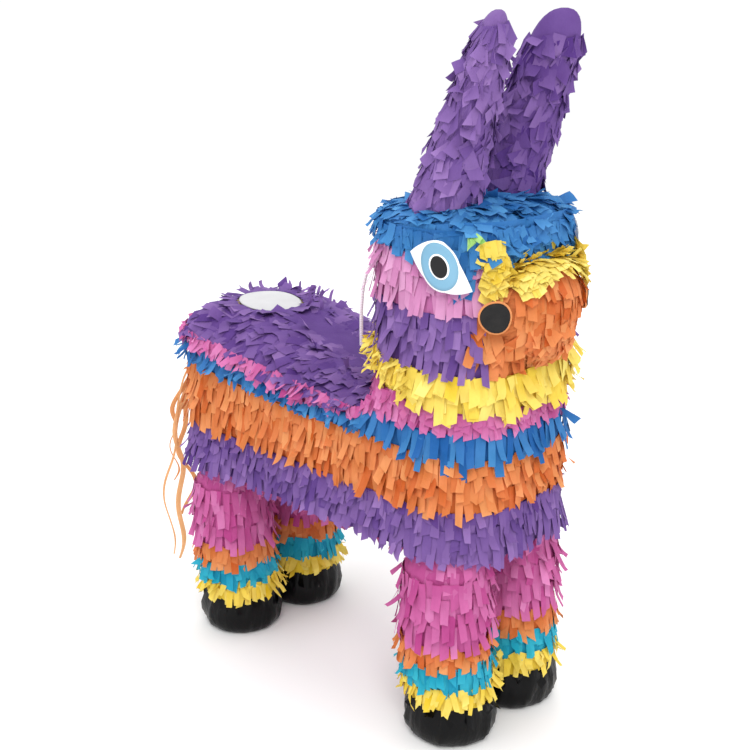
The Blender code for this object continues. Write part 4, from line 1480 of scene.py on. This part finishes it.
def tail():
    stem = Paper(101)
    rng = stem.rng
    points = catmull_rom(TAIL_ROUTE, 18)
    ahead = unit(np.gradient(points, axis=0))
    side = np.array((1.0, 0.0, 0.0))
    up = unit(np.cross(ahead, side))
    turn = circle(14)
    grid = []
    for k, point in enumerate(points):
        r = 0.0046 + 0.0005 * np.sin(turn * 3 + k * 0.9) + rng.normal(0, 0.0002, 14)
        grid.append(point + side * (r * np.cos(turn))[:, None] + up[k] * (r * np.sin(turn))[:, None])
    stem.add_grid(grid, 0.3, wrap=True)
    for k in range(2, len(points) - 1, 2):
        where = rng.uniform(0, 2 * np.pi, 7)
        out = unit(side * np.cos(where)[:, None] + up[k] * np.sin(where)[:, None])
        root = points[k] + out * 0.0045
        stem.add_tabs(
            root, out, np.tile(ahead[k], (7, 1)), 0.013, 0.006, lift=22, lift_spread=12, lean=24, kink=20,
        )
    stem.build_tissue("purple_tail_stem", "purple", "tail_stem", body="tail")
    sheet = Paper(102)
    rng = sheet.rng
    strips = (
        (-0.036, 0.026, 0.2400, 0.0052, 0.60),
        (-0.030, 0.100, 0.2440, 0.0048, 0.30),
        (-0.022, 0.018, 0.2420, 0.0056, 0.75),
        (-0.008, 0.060, 0.2460, 0.0050, 0.45),
        (0.004, 0.028, 0.2430, 0.0054, 0.65),
        (0.016, 0.082, 0.2450, 0.0048, 0.35),
        (0.027, 0.040, 0.2410, 0.0050, 0.55),
    )
    for x_end, z_end, y_end, width, tone in strips:
        top = np.array((x_end * 0.12, 0.2215 + rng.uniform(-0.002, 0.002), 0.2250))
        sway = rng.uniform(-0.007, 0.007, 5)
        fall = STREAMER_TOP_Z - z_end
        route = [
            top,
            (x_end * 0.45 + sway[0], 0.2320, STREAMER_TOP_Z),
            (x_end * 0.80 + sway[1], y_end - 0.004, STREAMER_TOP_Z - 0.30 * fall),
            (x_end * 0.90 + sway[2], y_end + 0.002, STREAMER_TOP_Z - 0.55 * fall),
            (x_end * 1.00 + sway[3], y_end - 0.003, STREAMER_TOP_Z - 0.78 * fall),
            (x_end * 0.95 + sway[4], y_end, z_end),
        ]
        angle = rng.uniform(-1.5, 1.5, 2) + (0.0, rng.choice((-1.2, 1.2)))
        across = [np.array((math.cos(a), math.sin(a), 0.0)) for a in angle]
        points = catmull_rom(route, 44)
        down = np.linspace(0.0, 1.0, len(points))
        wave = 0.0042 * smooth(0.15, 0.5, down) * np.sin(down * rng.uniform(13, 18) + rng.uniform(0, 6))
        points = points + np.outer(wave, (0.75, -0.55, 0.0))
        points[:, 1] = np.minimum(points[:, 1], 0.2560)
        ribbon(sheet, points, across, width, tone, 0.45, 0.0008)
    sheet.build("orange_tail_streamers", STREAMER, body="tail", nodes=["tail_streamers"])


def label():
    """White round label on the filling flap, laid over the hump of the back."""
    turn = circle(72)
    sheet = Paper(111)
    grid = []
    for share in (0.002, 0.25, 0.5, 0.7, 0.85, 0.95, 1.0):
        x = LABEL_RADIUS * share * np.cos(turn)
        y = LABEL_Y + LABEL_RADIUS * share * np.sin(turn)
        ripple = 0.0002 * np.sin(4 * turn + 1.0) * share
        z = back_height(x, y) + LABEL_OFF + LABEL_TILT * (y - HOLE_Y) + ripple
        grid.append(np.column_stack((x, y, z)))
    grid.append(grid[-1] - (0.0, 0.0, 0.0006))
    sheet.add_grid(grid, 0.5, wrap=True)
    sheet.build("round_label", LABEL, body="flap", nodes=["fill_label"])


def knot():
    """Small pink tuft where the cord leaves the head."""
    sheet = Paper(112)
    rng = sheet.rng
    root = np.tile((0.0, NAPE_Y + 0.0030, 0.369), (12, 1)) + rng.normal(0, 0.0012, (12, 3)) * (1, 0.2, 1)
    out = np.tile((0.0, 1.0, 0.0), (12, 1))
    turn = rng.uniform(0, 2 * np.pi, 12)
    down = np.column_stack((np.cos(turn), np.zeros(12), np.sin(turn)))
    sheet.add_tabs(root, out, down, 0.011, 0.0055, lift=40, lift_spread=15, kink=25, tone=0.8)
    sheet.build_tissue("pink_cord_tuft", "pink")


# --- Carried-over card pieces, floor and light ---


def dress_frame():
    for obj in bpy.data.objects:
        if obj.type == "MESH" and obj.name in frame["nodes"] and not obj.hide_render:
            for slot in obj.material_slots:
                slot.material = CARD


LIGHTS = (
    ("key", (-1.2, -1.3, 1.8), 22.0, 0.8, (1.0, 0.985, 0.96)),
    ("fill", (-1.8, 0.6, 1.1), 7.0, 1.6, (0.96, 0.98, 1.0)),
    ("front", (0.9, -1.7, 0.8), 6.0, 1.4, (1.0, 1.0, 1.0)),
    ("top", (0.2, 0.3, 2.2), 12.0, 1.4, (1.0, 1.0, 1.0)),
    ("back", (1.4, 1.3, 1.2), 6.0, 1.4, (1.0, 1.0, 1.0)),
)


def floor_and_light():
    mesh = bpy.data.meshes.new("floor")
    size = FLOOR_HALF_SIZE
    mesh.from_pydata(
        [(-size, -size, 0), (size, -size, 0), (size, size, 0), (-size, size, 0)], [], [(0, 1, 2, 3)],
    )
    floor = bpy.data.objects.new("floor", mesh)
    floor.location.z = -0.0002
    bpy.context.scene.collection.objects.link(floor)
    material, tree, shader, _ = new_material("floor_paper")
    shade = add_range(tree, add_noise(tree, 3.0), 0.90, 0.93)
    tree.links.new(shade, shader.inputs["Base Color"])
    shader.inputs["Roughness"].default_value = 0.9
    floor.data.materials.append(material)
    for name, place, energy, size, colour in LIGHTS:
        data = bpy.data.lights.new(name, "AREA")
        data.energy = energy
        data.size = size
        data.color = colour
        light = bpy.data.objects.new(name, data)
        light.location = place
        light.rotation_euler = (Vector((0.0, 0.0, 0.25)) - Vector(place)).to_track_quat("-Z", "Y").to_euler()
        bpy.context.scene.collection.objects.link(light)
    world = bpy.data.worlds.new("world")
    world.use_nodes = True
    background = world.node_tree.nodes["Background"]
    background.inputs["Color"].default_value = (1.0, 1.0, 1.0, 1.0)
    background.inputs["Strength"].default_value = WORLD_STRENGTH
    bpy.context.scene.world = world


body_bands()
collar()
head_bands()
crown()
saddle()
legs()
belly()
ears()
muzzle()
yellow_bridge()
brow()
chin()
eyes()
nostrils()
tail()
label()
knot()
dress_frame()
floor_and_light()
